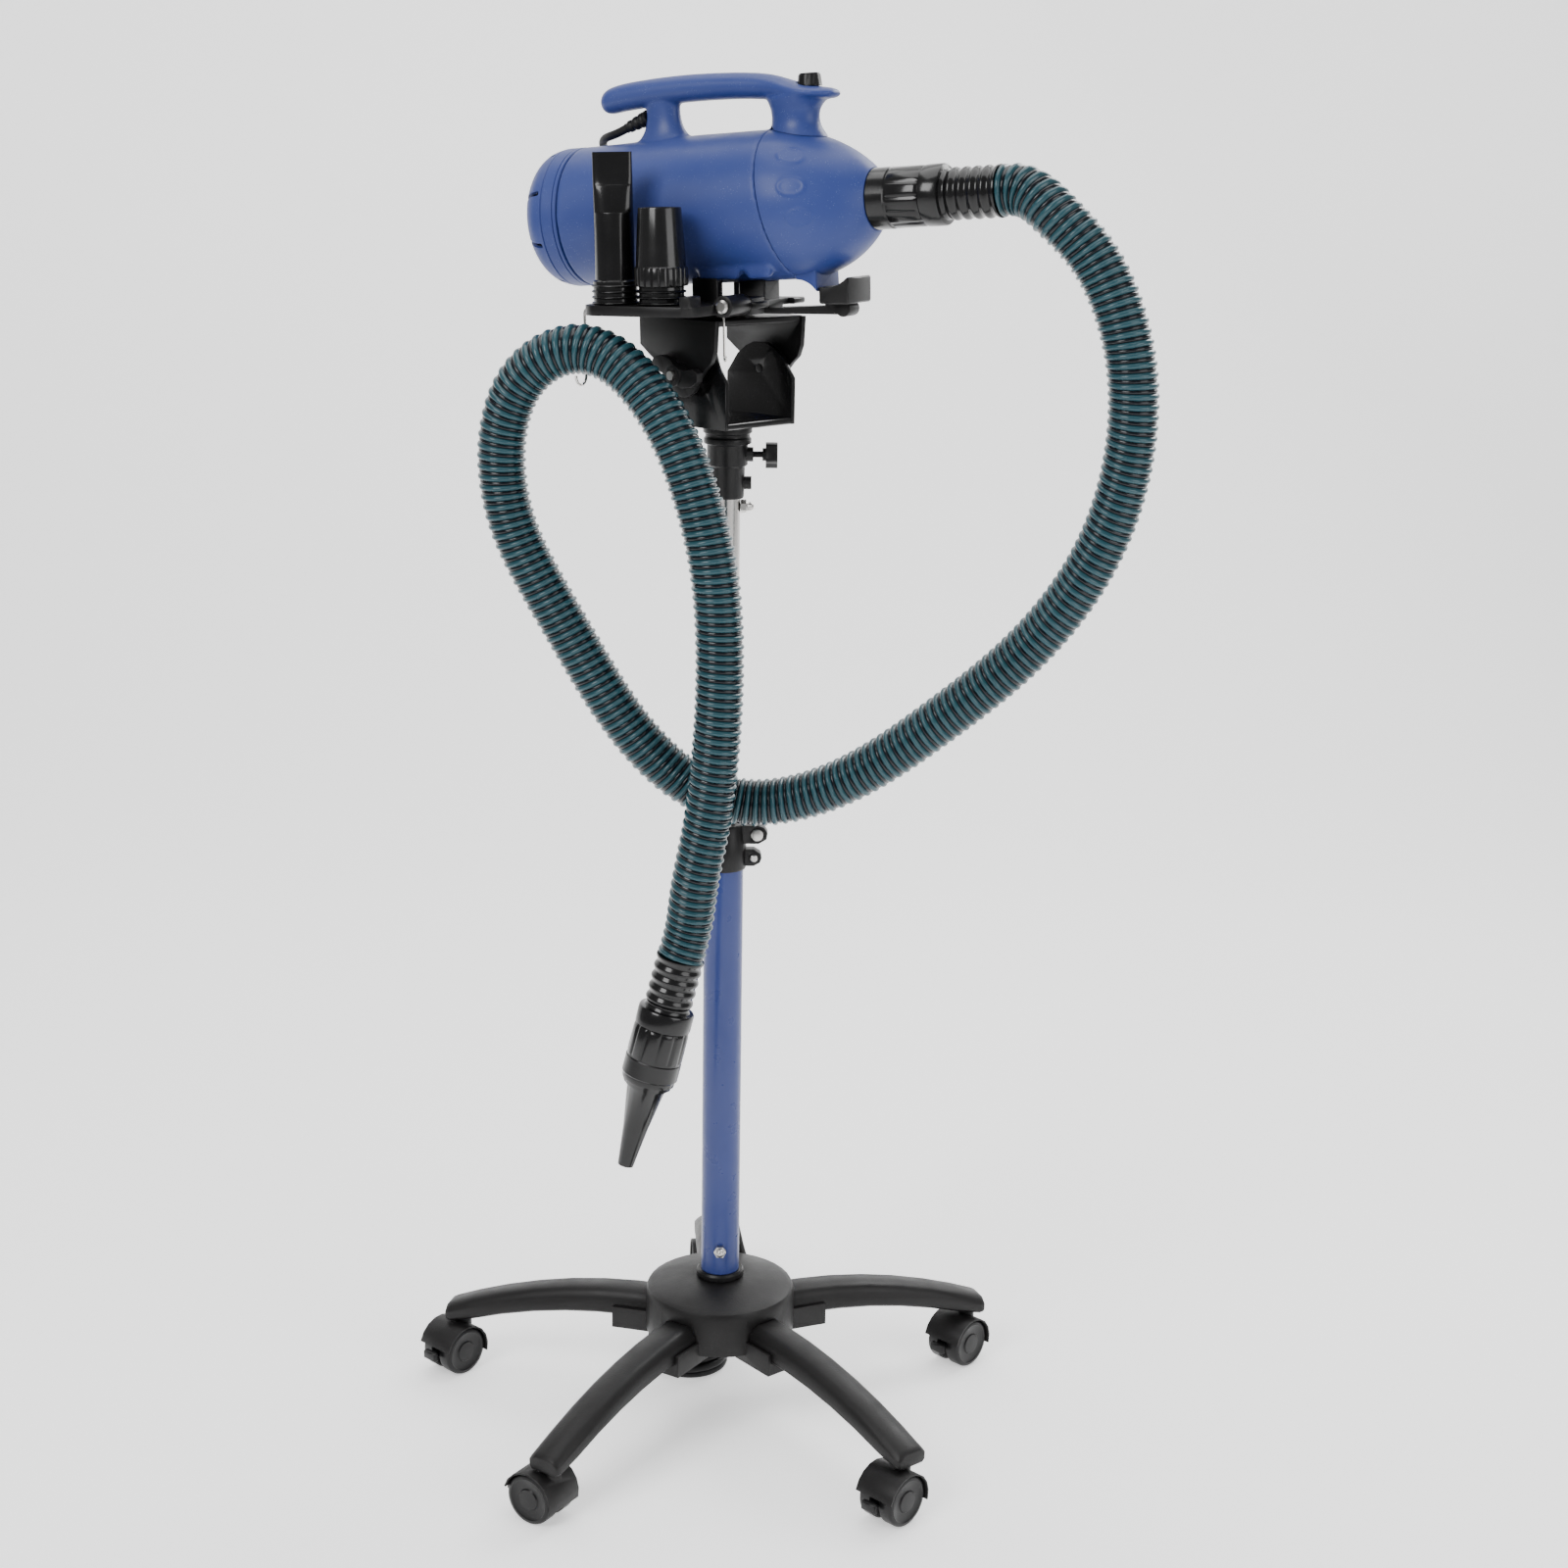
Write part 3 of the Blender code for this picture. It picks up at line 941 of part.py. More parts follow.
def make_spare_nozzles(cradle):
    """Flat nozzle and wide nozzle, each threaded foot over its post on the tray."""
    foot, post = TRAY_TOP + GAP, 0.0154
    thread = [(0.0205, foot), (0.0212, foot + 0.0012)]
    for i in range(2):
        low = foot + 0.0040 + i * 0.0080
        thread += [(0.0200, low), (0.0216, low + 0.0016), (0.0216, low + 0.0030)]
    bore = [(post, foot + 0.0180), (post, foot)]
    top = foot + 0.0840
    spare = [
        (0.0205, foot + 0.0210), (0.0238, foot + 0.0220), (0.0240, foot + 0.0330), (0.0222, foot + 0.0345),
        (0.0190, top), (0.0168, top), (0.0190, foot + 0.0345),
    ]
    wide = lathe(thread + spare + bore, 20, closed=True)
    place("wide_nozzle", wide, "gloss_black", cradle, (*WIDE_NOZZLE_AT, 0.0))

    segments, top = 20, foot + 0.1315
    outer = [circle(r, z, segments) for r, z in thread]
    outer += [circle(0.0185, foot + 0.0215, segments), circle(0.0178, foot + 0.0600, segments)]
    outer += [squared(0.0175, 0.0135, foot + 0.0770), squared(0.0175, 0.0085, foot + 0.1000),
              squared(0.0175, 0.0058, foot + 0.1180), squared(0.0175, 0.0052, top)]
    inner = [squared(0.0157, 0.0034, top), squared(0.0157, 0.0040, foot + 0.1180),
             squared(0.0155, 0.0066, foot + 0.1000), squared(0.0153, 0.0112, foot + 0.0800),
             circle(post, foot + 0.0600, segments), circle(post, foot, segments)]
    flat = loft(outer + inner, closed=True)
    place("flat_nozzle", flat, "gloss_black", cradle, (*FLAT_NOZZLE_AT, 0.0), (0, 0, NOZZLE_TURN))


def squared(half_x, half_y, at, segments=20):
    """A ring between an oval and a rectangle, for a flattened nozzle."""
    power = 0.45
    ring = []
    for i in range(segments):
        angle = 2 * math.pi * i / segments
        c, s = math.cos(angle), math.sin(angle)
        ring.append(Vector((
            half_x * math.copysign(abs(c) ** power, c), half_y * math.copysign(abs(s) ** power, s), at,
        )))
    return ring


def main():
    clear_scene()
    floor = frame("floor_frame", None, (POLE_X, POLE_Y, 0.0))
    stand = frame("stand_frame", None, (POLE_X, POLE_Y, PIT))
    mount = frame("tilt_frame", stand, (0, 0, PIVOT_Z), (0, 0, MOUNT_YAW))
    dryer = frame("dryer_frame", stand, (0, 0, DRYER_Z), (0, -DRYER_PITCH, DRYER_YAW))
    cradle = frame("cradle_frame", stand, (0, 0, DRYER_Z), (0, -CRADLE_PITCH, DRYER_YAW))
    tool = frame("tool_frame", stand, TOOL_AT, TOOL_TURN)
    make_hub(stand)
    for index in range(LEG_COUNT):
        make_leg(index, stand)
        make_caster(index, floor)
    make_column(stand)
    make_mast(stand)
    make_swivel(stand, mount)
    make_tilt_yoke(mount)
    make_cradle(cradle)
    make_tray(cradle)
    make_hooks(cradle)
    make_spare_nozzles(cradle)
    make_housing(dryer)
    make_dome(dryer)
    make_rear_cap(dryer)
    make_insides(dryer)
    make_speed_knob(dryer)
    make_strain_relief(dryer)
    make_outlet(dryer)
    make_hose(stand, dryer, tool)
    make_mains_cord(stand, floor)


main()
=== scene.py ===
"""Looks of the pet dryer on its rolling stand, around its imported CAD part."""
import json
import math

import bmesh
import bpy
import numpy as np
from mathutils import Matrix, Vector


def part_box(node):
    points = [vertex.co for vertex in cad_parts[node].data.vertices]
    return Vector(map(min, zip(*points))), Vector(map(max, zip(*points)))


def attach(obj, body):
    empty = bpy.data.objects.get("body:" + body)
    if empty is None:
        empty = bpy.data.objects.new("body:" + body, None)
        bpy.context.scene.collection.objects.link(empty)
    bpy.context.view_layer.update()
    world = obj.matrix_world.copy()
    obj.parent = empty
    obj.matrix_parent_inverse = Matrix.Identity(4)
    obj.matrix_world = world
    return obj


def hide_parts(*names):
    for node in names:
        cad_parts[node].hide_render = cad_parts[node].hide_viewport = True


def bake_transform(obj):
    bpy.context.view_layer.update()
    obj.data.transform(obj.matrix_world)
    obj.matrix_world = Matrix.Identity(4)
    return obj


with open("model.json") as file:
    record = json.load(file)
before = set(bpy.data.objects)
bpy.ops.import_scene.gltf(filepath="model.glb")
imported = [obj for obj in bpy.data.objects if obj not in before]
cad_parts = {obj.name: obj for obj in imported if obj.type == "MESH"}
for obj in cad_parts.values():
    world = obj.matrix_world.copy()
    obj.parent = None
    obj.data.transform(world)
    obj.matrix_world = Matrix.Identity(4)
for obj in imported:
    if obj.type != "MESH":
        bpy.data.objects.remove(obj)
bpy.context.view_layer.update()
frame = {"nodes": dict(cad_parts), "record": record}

NODES = frame["nodes"]
JOINTS = {joint["name"]: joint for joint in frame["record"]["behaviour"]["joints"]}

# Frames taken from the record's joints: the pole, whose heights are measured from 9 mm below the
# floor, and the dryer, with +X along its axis towards the hose and +Z up through its knob.
POLE_ZERO = -0.009
POLE = Vector((*JOINTS["head_swivel"]["pos_m"][:2], POLE_ZERO))
_along = Vector(JOINTS["rotor_spin"]["axis"])
_up = Vector(JOINTS["speed_knob_turn"]["axis"])
_axes = Matrix((_along, _up.cross(_along), _up)).transposed()
DRYER = Matrix.Translation(JOINTS["rotor_spin"]["pos_m"]) @ _axes.to_4x4()

# ---------------------------------------------------------------- materials


class Shader:
    """A Principled material with procedural detail in object coordinates."""

    def __init__(self, name, roughness=0.5, metallic=0.0, **inputs):
        self.material = bpy.data.materials.new(name)
        self.material.use_nodes = True
        self.tree = self.material.node_tree
        self.shader = self.tree.nodes["Principled BSDF"]
        self.shader.inputs["Roughness"].default_value = roughness
        self.shader.inputs["Metallic"].default_value = metallic
        for key, value in inputs.items():
            self.shader.inputs[key.replace("_", " ")].default_value = value
        self.coords = self.tree.nodes.new("ShaderNodeTexCoord").outputs["Object"]

    def add(self, kind, **values):
        node = self.tree.nodes.new(kind)
        for key, value in values.items():
            setattr(node, key, value)
        return node

    def link(self, out, into):
        self.tree.links.new(out, into)

    def noise(self, scale, detail=3.0, stretch=None):
        node = self.add("ShaderNodeTexNoise")
        node.inputs["Scale"].default_value = scale
        node.inputs["Detail"].default_value = detail
        coords = self.coords
        if stretch:
            mapping = self.add("ShaderNodeMapping")
            mapping.inputs["Scale"].default_value = stretch
            self.link(coords, mapping.inputs["Vector"])
            coords = mapping.outputs["Vector"]
        self.link(coords, node.inputs["Vector"])
        return node.outputs["Fac"]

    def ramp(self, source, stops):
        node = self.add("ShaderNodeValToRGB")
        elements = node.color_ramp.elements
        while len(elements) < len(stops):
            elements.new(0.5)
        for element, (at, colour) in zip(elements, stops):
            element.position = at
            element.color = (*colour, 1.0)
        self.link(source, node.inputs["Fac"])
        return node.outputs["Color"]

    def grey(self, source, low, high, value_low, value_high):
        node = self.add("ShaderNodeMapRange")
        limits = {"From Min": low, "From Max": high, "To Min": value_low, "To Max": value_high}
        for key, value in limits.items():
            node.inputs[key].default_value = value
        self.link(source, node.inputs["Value"])
        return node.outputs["Result"]

    def bump(self, source, strength, distance):
        node = self.add("ShaderNodeBump")
        node.inputs["Strength"].default_value = strength
        node.inputs["Distance"].default_value = distance
        self.link(source, node.inputs["Height"])
        self.link(node.outputs["Normal"], self.shader.inputs["Normal"])

    def colour(self, output):
        self.link(output, self.shader.inputs["Base Color"])

    def drift(self, scale, detail, base, darker, lighter):
        """The base colour, drifting by a share towards black and a share towards white."""
        stops = [(0.3, mixed(base, (0, 0, 0), darker)), (0.7, mixed(base, (1, 1, 1), lighter))]
        return self.ramp(self.noise(scale, detail), stops)

    def sheen(self, scale, low, high):
        """Roughness that wanders between two values."""
        self.link(self.grey(self.noise(scale), 0.3, 0.7, low, high), self.shader.inputs["Roughness"])


def mixed(low, high, share):
    return tuple(a + (b - a) * share for a, b in zip(low, high))


def plastic(name, base, roughness, grain, grain_depth, coat=0.0):
    """Moulded plastic: slight colour drift, fine mould grain and uneven sheen."""
    made = Shader(name, roughness, Coat_Weight=coat, Coat_Roughness=0.12, Specular_IOR_Level=0.27)
    made.colour(made.drift(9.0, 4.0, base, 0.16, 0.003))
    made.bump(made.noise(grain, 2.0), 0.35, grain_depth)
    made.sheen(34.0, roughness - 0.05, roughness + 0.07)
    return made.material


FLECK = (0.20, 0.25, 0.46)
MIX_A, MIX_B, MIX_RESULT = 6, 7, 2  # the Mix node's colour sockets, which share their names with others


def speckled_blue(name, base, roughness):
    """Blue moulded shell with fine light flecks."""
    made = Shader(name, roughness, Coat_Weight=0.05, Coat_Roughness=0.25, Specular_IOR_Level=0.27)
    body = made.drift(6.0, 3.0, base, 0.10, 0.025)
    cells = made.add("ShaderNodeTexVoronoi")
    cells.inputs["Scale"].default_value = 620.0
    made.link(made.coords, cells.inputs["Vector"])
    flecks = made.ramp(cells.outputs["Distance"], [(0.10, (1, 1, 1)), (0.19, (0, 0, 0))])
    patchy = made.grey(made.noise(150.0, 2.0), 0.47, 0.62, 0.0, 0.55)
    share = made.add("ShaderNodeMath", operation="MULTIPLY")
    made.link(flecks, share.inputs[0])
    made.link(patchy, share.inputs[1])
    mix = made.add("ShaderNodeMix", data_type="RGBA")
    made.link(share.outputs[0], mix.inputs["Factor"])
    made.link(body, mix.inputs[MIX_A])
    mix.inputs[MIX_B].default_value = (*FLECK, 1.0)
    made.colour(mix.outputs[MIX_RESULT])
    made.bump(made.noise(900.0, 2.0), 0.25, 0.00015)
    made.sheen(40.0, roughness - 0.04, roughness + 0.06)
    return made.material


def painted(name, base, roughness):
    """Smooth painted tube: slight colour drift and uneven sheen, no relief."""
    made = Shader(name, roughness, Coat_Weight=0.10, Coat_Roughness=0.15, Specular_IOR_Level=0.30)
    made.colour(made.drift(7.0, 3.0, base, 0.10, 0.02))
    made.sheen(60.0, roughness - 0.04, roughness + 0.05)
    return made.material


def steel(name, base, roughness, stretch):
    """Plated or zinc-coated steel with fine drawn streaks."""
    made = Shader(name, roughness, 1.0)
    streaks = made.noise(220.0, 4.0, stretch)
    made.colour(made.ramp(streaks, [(0.3, mixed(base, (0, 0, 0), 0.10)), (0.7, base)]))
    made.bump(streaks, 0.10, 0.0001)
    made.sheen(30.0, roughness - 0.04, roughness + 0.10)
    return made.material


def foam(name, base):
    """Open-celled filter foam."""
    made = Shader(name, 0.95)
    cells = made.noise(420.0, 3.0)
    made.colour(made.ramp(cells, [(0.4, mixed(base, (0, 0, 0), 0.6)), (0.6, base)]))
    made.bump(cells, 0.8, 0.0008)
    return made.material


BLUE = (0.018, 0.038, 0.185)
LOOKS = {
    "blue_shell": speckled_blue("blue_shell_look", BLUE, 0.42),
    "blue_paint": painted("blue_paint_look", (0.020, 0.038, 0.178), 0.30),
    "black_plastic": plastic("black_plastic_look", (0.0040, 0.0038, 0.0042), 0.36, 900.0, 0.00020),
    "textured_black": plastic("textured_black_look", (0.0055, 0.0050, 0.0052), 0.44, 620.0, 0.00045),
    "gloss_black": plastic("gloss_black_look", (0.0030, 0.0030, 0.0034), 0.20, 500.0, 0.00008, 0.25),
    "chromed_steel": steel("chromed_steel_look", (0.66, 0.64, 0.62), 0.16, (1.0, 1.0, 0.06)),
    "zinc_steel": steel("zinc_steel_look", (0.56, 0.55, 0.53), 0.30, (1.0, 1.0, 1.0)),
    "black_rubber": plastic("black_rubber_look", (0.0050, 0.0050, 0.0056), 0.48, 1200.0, 0.00020),
    "filter_foam": foam("filter_foam_look", (0.030, 0.030, 0.034)),
    "motor_can": steel("motor_can_look", (0.30, 0.31, 0.32), 0.40, (0.1, 1.0, 1.0)),
    "impeller_alloy": steel("impeller_alloy_look", (0.45, 0.46, 0.47), 0.35, (1.0, 1.0, 1.0)),
    "hose_teal": plastic("hose_teal_look", (0.0140, 0.0580, 0.0740), 0.24, 700.0, 0.00010, 0.2),
}
SPIRAL = plastic("hose_spiral_look", (0.0012, 0.0026, 0.0060), 0.20, 700.0, 0.00008, 0.2)


def dress(piece, *looks, angle=35.0):
    """Gives a mesh its materials and smooth shading with crisp edges."""
    piece.data.materials.clear()
    for look in looks:
        piece.data.materials.append(look)
    piece.data.shade_smooth()
    piece.data.set_sharp_from_angle(angle=math.radians(angle))


SLOT_OF = {entry["node"]: entry["material_slot"] for entry in frame["record"]["subparts"]}
for _name, _piece in NODES.items():
    _piece.data.materials.clear()
    _piece.data.materials.append(LOOKS[SLOT_OF[_name]])

# ----------------------------------------------------------------- geometry


def smooth_line(knots, spacing):
    """Evenly spaced points on a natural cubic spline through the knots."""
    knots = np.array(knots, float)
    along = np.concatenate(([0.0], np.cumsum(np.linalg.norm(np.diff(knots, axis=0), axis=1))))
    step = np.diff(along)
    count = len(knots)
    system, slopes = np.eye(count), np.zeros(knots.shape)
    for i in range(1, count - 1):
        system[i, i - 1:i + 2] = step[i - 1], 2 * (step[i - 1] + step[i]), step[i]
        slopes[i] = 6 * ((knots[i + 1] - knots[i]) / step[i] - (knots[i] - knots[i - 1]) / step[i - 1])
    bend = np.linalg.solve(system, slopes)
    points = []
    for s in np.linspace(0.0, along[-1], int(round(along[-1] / spacing)) + 1):
        i = min(int(np.searchsorted(along, s, side="right")) - 1, count - 2)
        width, left, right = step[i], along[i + 1] - s, s - along[i]
        points.append(
            (bend[i] * left ** 3 + bend[i + 1] * right ** 3) / (6 * width)
            + (knots[i] / width - bend[i] * width / 6) * left
            + (knots[i + 1] / width - bend[i + 1] * width / 6) * right
        )
    return np.array(points)


def frames_along(points):
    """Two normals at each point, without twist."""
    points = np.array(points)
    tangents = np.gradient(points, axis=0)
    tangents /= np.linalg.norm(tangents, axis=1)[:, None]
    side = np.cross(tangents[0], (0.3, 0.2, 1.0))
    sides, others = [], []
    for along in tangents:
        side = side - along * np.dot(side, along)
        side /= np.linalg.norm(side)
        sides.append(side)
        others.append(np.cross(along, side))
    return np.array(sides), np.array(others)


def around(count):
    """Angles evenly spaced over one turn."""
    return np.linspace(0, 2 * math.pi, count, endpoint=False)


def circle(centre_x, centre_y, radius, count=48):
    """Points (x, y) around a circle."""
    return [(centre_x + radius * math.cos(a), centre_y + radius * math.sin(a)) for a in around(count)]


def skin(name, rings, look, closed=False):
    """A mesh through rings of points: joined into a loop if closed, capped at its ends if not."""
    rings = [np.array(ring, float) for ring in rings]
    count = len(rings[0])
    vertices = np.concatenate(rings)
    faces = []
    spans = len(rings) if closed else len(rings) - 1
    for a in range(spans):
        b = (a + 1) % len(rings)
        for i in range(count):
            j = (i + 1) % count
            faces.append((a * count + i, a * count + j, b * count + j, b * count + i))
    if not closed:
        last = (len(rings) - 1) * count
        faces += [tuple(range(count))[::-1], tuple(range(last, last + count))]
    mesh = bpy.data.meshes.new(name)
    mesh.from_pydata([tuple(v) for v in vertices], [], faces)
    work = bmesh.new()
    work.from_mesh(mesh)
    bmesh.ops.recalc_face_normals(work, faces=work.faces)
    work.to_mesh(mesh)
    work.free()
    made = bpy.data.objects.new(name, mesh)
    bpy.context.scene.collection.objects.link(made)
    dress(made, look, angle=50.0)
    return made


def sweep(name, points, radius, segments, look):
    """A round tube along points."""
    sides, others = frames_along(points)
    angles = around(segments)
    rings = [
        point + radius * (np.cos(angles)[:, None] * side + np.sin(angles)[:, None] * other)
        for point, side, other in zip(points, sides, others)
    ]
    return skin(name, rings, look)


# ------------------------------------------------------- moulded replacements

SHOWN = list(SLOT_OF)  # CAD nodes that nothing replaces yet
BODIES = frame["record"]["behaviour"]["bodies"]
BODY_OF = {node: body for body, nodes in BODIES.items() for node in nodes}


def settle(made, node, matrix=Matrix.Identity(4), angle=35.0):
    """Puts a mesh made in matrix's frame in place of a CAD node."""
    made.data.transform(matrix)
    dress(made, LOOKS[SLOT_OF[node]], angle=angle)
    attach(made, BODY_OF[node])
    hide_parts(node)
    SHOWN.remove(node)


def applied(made, *changes):
    """Applies modifiers given as (type, settings) to the object's mesh."""
    for kind, settings in changes:
        change = made.modifiers.new(kind, kind)
        for key, value in settings.items():
            setattr(change, key, value)
    depsgraph = bpy.context.evaluated_depsgraph_get()
    mesh = bpy.data.meshes.new_from_object(made.evaluated_get(depsgraph))
    made.modifiers.clear()
    made.data = mesh


def joined(name, pieces):
    """One mesh from several objects, which are removed."""
    work = bmesh.new()
    for piece in pieces:
        work.from_mesh(piece.data)
        bpy.data.objects.remove(piece, do_unlink=True)
    mesh = bpy.data.meshes.new(name)
    work.to_mesh(mesh)
    work.free()
    made = bpy.data.objects.new(name, mesh)
    bpy.context.scene.collection.objects.link(made)
    return made


def carved(made, cutters):
    """Cuts the cutters out of a piece and removes them."""
    for cutter in cutters:
        applied(made, ("BOOLEAN", {"operation": "DIFFERENCE", "object": cutter, "solver": "EXACT"}))
        bpy.data.objects.remove(cutter, do_unlink=True)


def fused(made, voxel, rounds):
    """Melts overlapping pieces into one skin with soft fillets."""
    applied(
        made, ("REMESH", {"mode": "VOXEL", "voxel_size": voxel}),
        ("SMOOTH", {"factor": 0.5, "iterations": rounds}),
    )


def turned(name, profile, segments=72, closed=True):
    """A piece turned about local +X from (radius, x) pairs."""
    rings = [round_ring(radius, x, segments=segments) for radius, x in profile]
    return skin(name, rings, LOOKS["black_plastic"], closed=closed)


def box_mesh(name, low, high, bevel=0.0):
    """A box between two corners, with its edges rounded."""
    low, high = Vector(low), Vector(high)
    work = bmesh.new()
    bmesh.ops.create_cube(work, size=1.0)
    bmesh.ops.scale(work, vec=high - low, verts=work.verts)
    bmesh.ops.translate(work, vec=(low + high) / 2, verts=work.verts)
    if bevel:
        bmesh.ops.bevel(work, geom=work.edges[:], offset=bevel, segments=3, affect="EDGES", profile=0.5)
    mesh = bpy.data.meshes.new(name)
    work.to_mesh(mesh)
    work.free()
    made = bpy.data.objects.new(name, mesh)
    bpy.context.scene.collection.objects.link(made)
    return made


def axis_frame(at, axis):
    """A frame whose +X lies along axis."""
    turn = Vector((1, 0, 0)).rotation_difference(Vector(axis)).to_matrix()
    return Matrix.Translation(at) @ turn.to_4x4()


WELD, FLAT_ANGLE, EDGE_ANGLE = 1e-5, math.radians(0.6), math.radians(38.0)


def soften(node, bevel):
    """A welded copy of a CAD node with rounded edges and smooth shading."""
    source = NODES[node]
    made = bpy.data.objects.new(node + "_skin", source.data.copy())
    bpy.context.scene.collection.objects.link(made)
    work = bmesh.new()
    work.from_mesh(made.data)
    bmesh.ops.remove_doubles(work, verts=work.verts, dist=WELD)
    bmesh.ops.dissolve_limit(work, angle_limit=FLAT_ANGLE, verts=work.verts, edges=work.edges)
    work.to_mesh(made.data)
    work.free()
    if bevel:
        applied(made, ("BEVEL", {
            "width": bevel, "segments": 2, "limit_method": "ANGLE", "angle_limit": EDGE_ANGLE,
        }))
    settle(made, node, angle=40.0)


# The dryer in its own frame: the shell runs from BODY_REAR to BODY_SEAM, the dome from there to
# the nose, whose hole takes the spigot, and the rear cap ends at CAP_END.
BODY_R, REAR_R, BODY_REAR, BODY_SEAM = 0.0660, 0.0628, -0.146, 0.064
SEAM_LEAN = math.tan(math.radians(10))
DOME_LENGTH, DOME_ROWS, DOME_WALL = 0.096, 24, 0.003
NOSE_X, NOSE_HOLE, CAP_END = 0.1471, 0.0232, -0.1955
KNOB_X, KNOB_Z, KNOB_RECESS = 0.0880, 0.1002, 0.0125
FLARE = 1.6  # the shell reaches its full radius this many times sooner than the seam
POST_SEGMENTS = 40


def round_ring(radius, x, lean=0.0, segments=96):
    """A ring about local +X, its top leaning back by lean."""
    return [
        (x - lean * radius * math.sin(a), radius * math.cos(a), radius * math.sin(a))
        for a in around(segments)
    ]


def body_radius(x):
    """Radius of the shell, which widens smoothly from its rear."""
    share = (x - BODY_REAR) / (BODY_SEAM - BODY_REAR)
    share = min(max(share * FLARE, 0.0), 1.0)
    return REAR_R + (BODY_R - REAR_R) * share * share * (3 - 2 * share)


def dome_radius(x):
    """Radius of the dome before its top leans back."""
    reach = min(max((x - BODY_SEAM) / DOME_LENGTH, 0.0), 1.0)
    return BODY_R * (1.0 - reach ** 1.8) ** 0.6


def dome_x(share, nose=NOSE_X):
    """Where a row of the dome stands, closer together towards the nose."""
    return BODY_SEAM + (nose - BODY_SEAM) * math.sin(share * math.pi / 2)


def dome_skin(swell):
    """Plain rings of the dome, grown by swell."""
    rings = []
    for i in range(DOME_ROWS + 1):
        x = dome_x(i / DOME_ROWS)
        rings.append(round_ring(dome_radius(x) + swell, x, SEAM_LEAN * (1 - i / DOME_ROWS)))
    return rings


def post(stations):
    """A post through oval rings: (centre x, z, half length, half width)."""
    angles = around(POST_SEGMENTS)
    rings = [
        [(x + half_x * math.cos(a), half_y * math.sin(a), z) for a in angles]
        for x, z, half_x, half_y in smooth_line(stations, 0.0025)
    ]
    return skin("post", rings, LOOKS["blue_shell"])


def grip():
    """The handle's bar through oval rings: (x, centre z, half height, half width)."""
    stations = [
        (-0.1240, 0.1005, 0.0045, 0.0055), (-0.1218, 0.1008, 0.0085, 0.0100),
        (-0.1170, 0.1015, 0.0112, 0.0135), (-0.1080, 0.1030, 0.0122, 0.0148),
        (-0.0850, 0.1052, 0.0125, 0.0150), (-0.0580, 0.1066, 0.0124, 0.0150),
        (-0.0320, 0.1071, 0.0122, 0.0150), (-0.0020, 0.1065, 0.0119, 0.0150),
        (0.0280, 0.1048, 0.0116, 0.0152), (0.0550, 0.1012, 0.0108, 0.0172),
        (0.0720, 0.0975, 0.0088, 0.0212), (0.0880, 0.0948, 0.0066, 0.0232),
        (0.1010, 0.0934, 0.0054, 0.0205), (0.1100, 0.0926, 0.0044, 0.0145),
        (0.1145, 0.0922, 0.0026, 0.0070),
    ]
    angles = around(POST_SEGMENTS)
    rings = []
    for x, z, half_height, half_width in smooth_line(stations, 0.003):
        rings.append([(x, half_width * math.cos(a), z + half_height * math.sin(a)) for a in angles])
    return skin("grip", rings, LOOKS["blue_shell"])


def rail(side):
    """One of the two notched rails under the shell."""
    outline = [
        (-0.0140, -0.0450), (-0.0140, -0.0620), (0.0240, -0.0625), (0.0310, -0.0540),
        (0.0380, -0.0625), (0.0590, -0.0620), (0.0590, -0.0450),
    ]
    rings = [[(x, side * 0.0385 + y, z) for x, z in outline] for y in (-0.0045, 0.0045)]
    return skin("rail", rings, LOOKS["blue_shell"])


REAR_POST = [
    (-0.0620, 0.0500, 0.0370, 0.0220), (-0.0620, 0.0560, 0.0330, 0.0200),
    (-0.0620, 0.0620, 0.0285, 0.0175), (-0.0620, 0.0680, 0.0230, 0.0145),
    (-0.0620, 0.0760, 0.0185, 0.0120), (-0.0620, 0.0880, 0.0165, 0.0110),
    (-0.0620, 0.1040, 0.0175, 0.0115),
]
FRONT_POST = [
    (0.0740, 0.0480, 0.0310, 0.0260), (0.0730, 0.0585, 0.0270, 0.0225),
    (0.0722, 0.0660, 0.0235, 0.0190), (0.0722, 0.0740, 0.0222, 0.0175),
    (0.0730, 0.0820, 0.0235, 0.0185), (0.0750, 0.0880, 0.0275, 0.0205),
    (0.0775, 0.0930, 0.0320, 0.0225),
]


def make_housing():
    """The shell with its handle and rails in one moulding, hollow behind the dome."""
    rings = [round_ring(body_radius(x), x) for x in np.linspace(BODY_REAR, 0.030, 24)]
    rings.append(round_ring(BODY_R, BODY_SEAM - 0.0006, SEAM_LEAN))
    shell = skin("shell", rings, LOOKS["blue_shell"])
    made = joined("housing", [shell, grip(), post(REAR_POST), post(FRONT_POST), rail(-1), rail(1)])
    fused(made, 0.0016, 12)
    rings = [round_ring(BODY_R + 0.004, BODY_SEAM - 0.0004, SEAM_LEAN), *dome_skin(0.0006)[1:]]
    dome_space = skin("dome_space", rings, LOOKS["blue_shell"])
    bore = [(BODY_R - 0.0045, 0.030), (REAR_R - 0.0035, BODY_REAR - 0.01)]
    hollow = turned("hollow", bore, closed=False)
    rings = [[(x, y, z) for x, y in circle(KNOB_X, 0.0, KNOB_RECESS)] for z in (KNOB_Z - 0.0003, 0.13)]
    recess = skin("recess", rings, LOOKS["blue_shell"])
    carved(made, [dome_space, hollow, recess])
    settle(made, "main_housing", DRYER, 30.0)


# The dome's embossed ovals: where each lies along the axis, and its angle in degrees around it.
OVALS = [
    (0.0880, 137.5), (0.0932, 165.6), (0.0998, 192.5), (0.0880, 42.5), (0.0932, 14.4), (0.0998, -12.5),
]
OVAL_HALF_LENGTH, OVAL_HALF_WIDTH = 0.0112, 0.0078


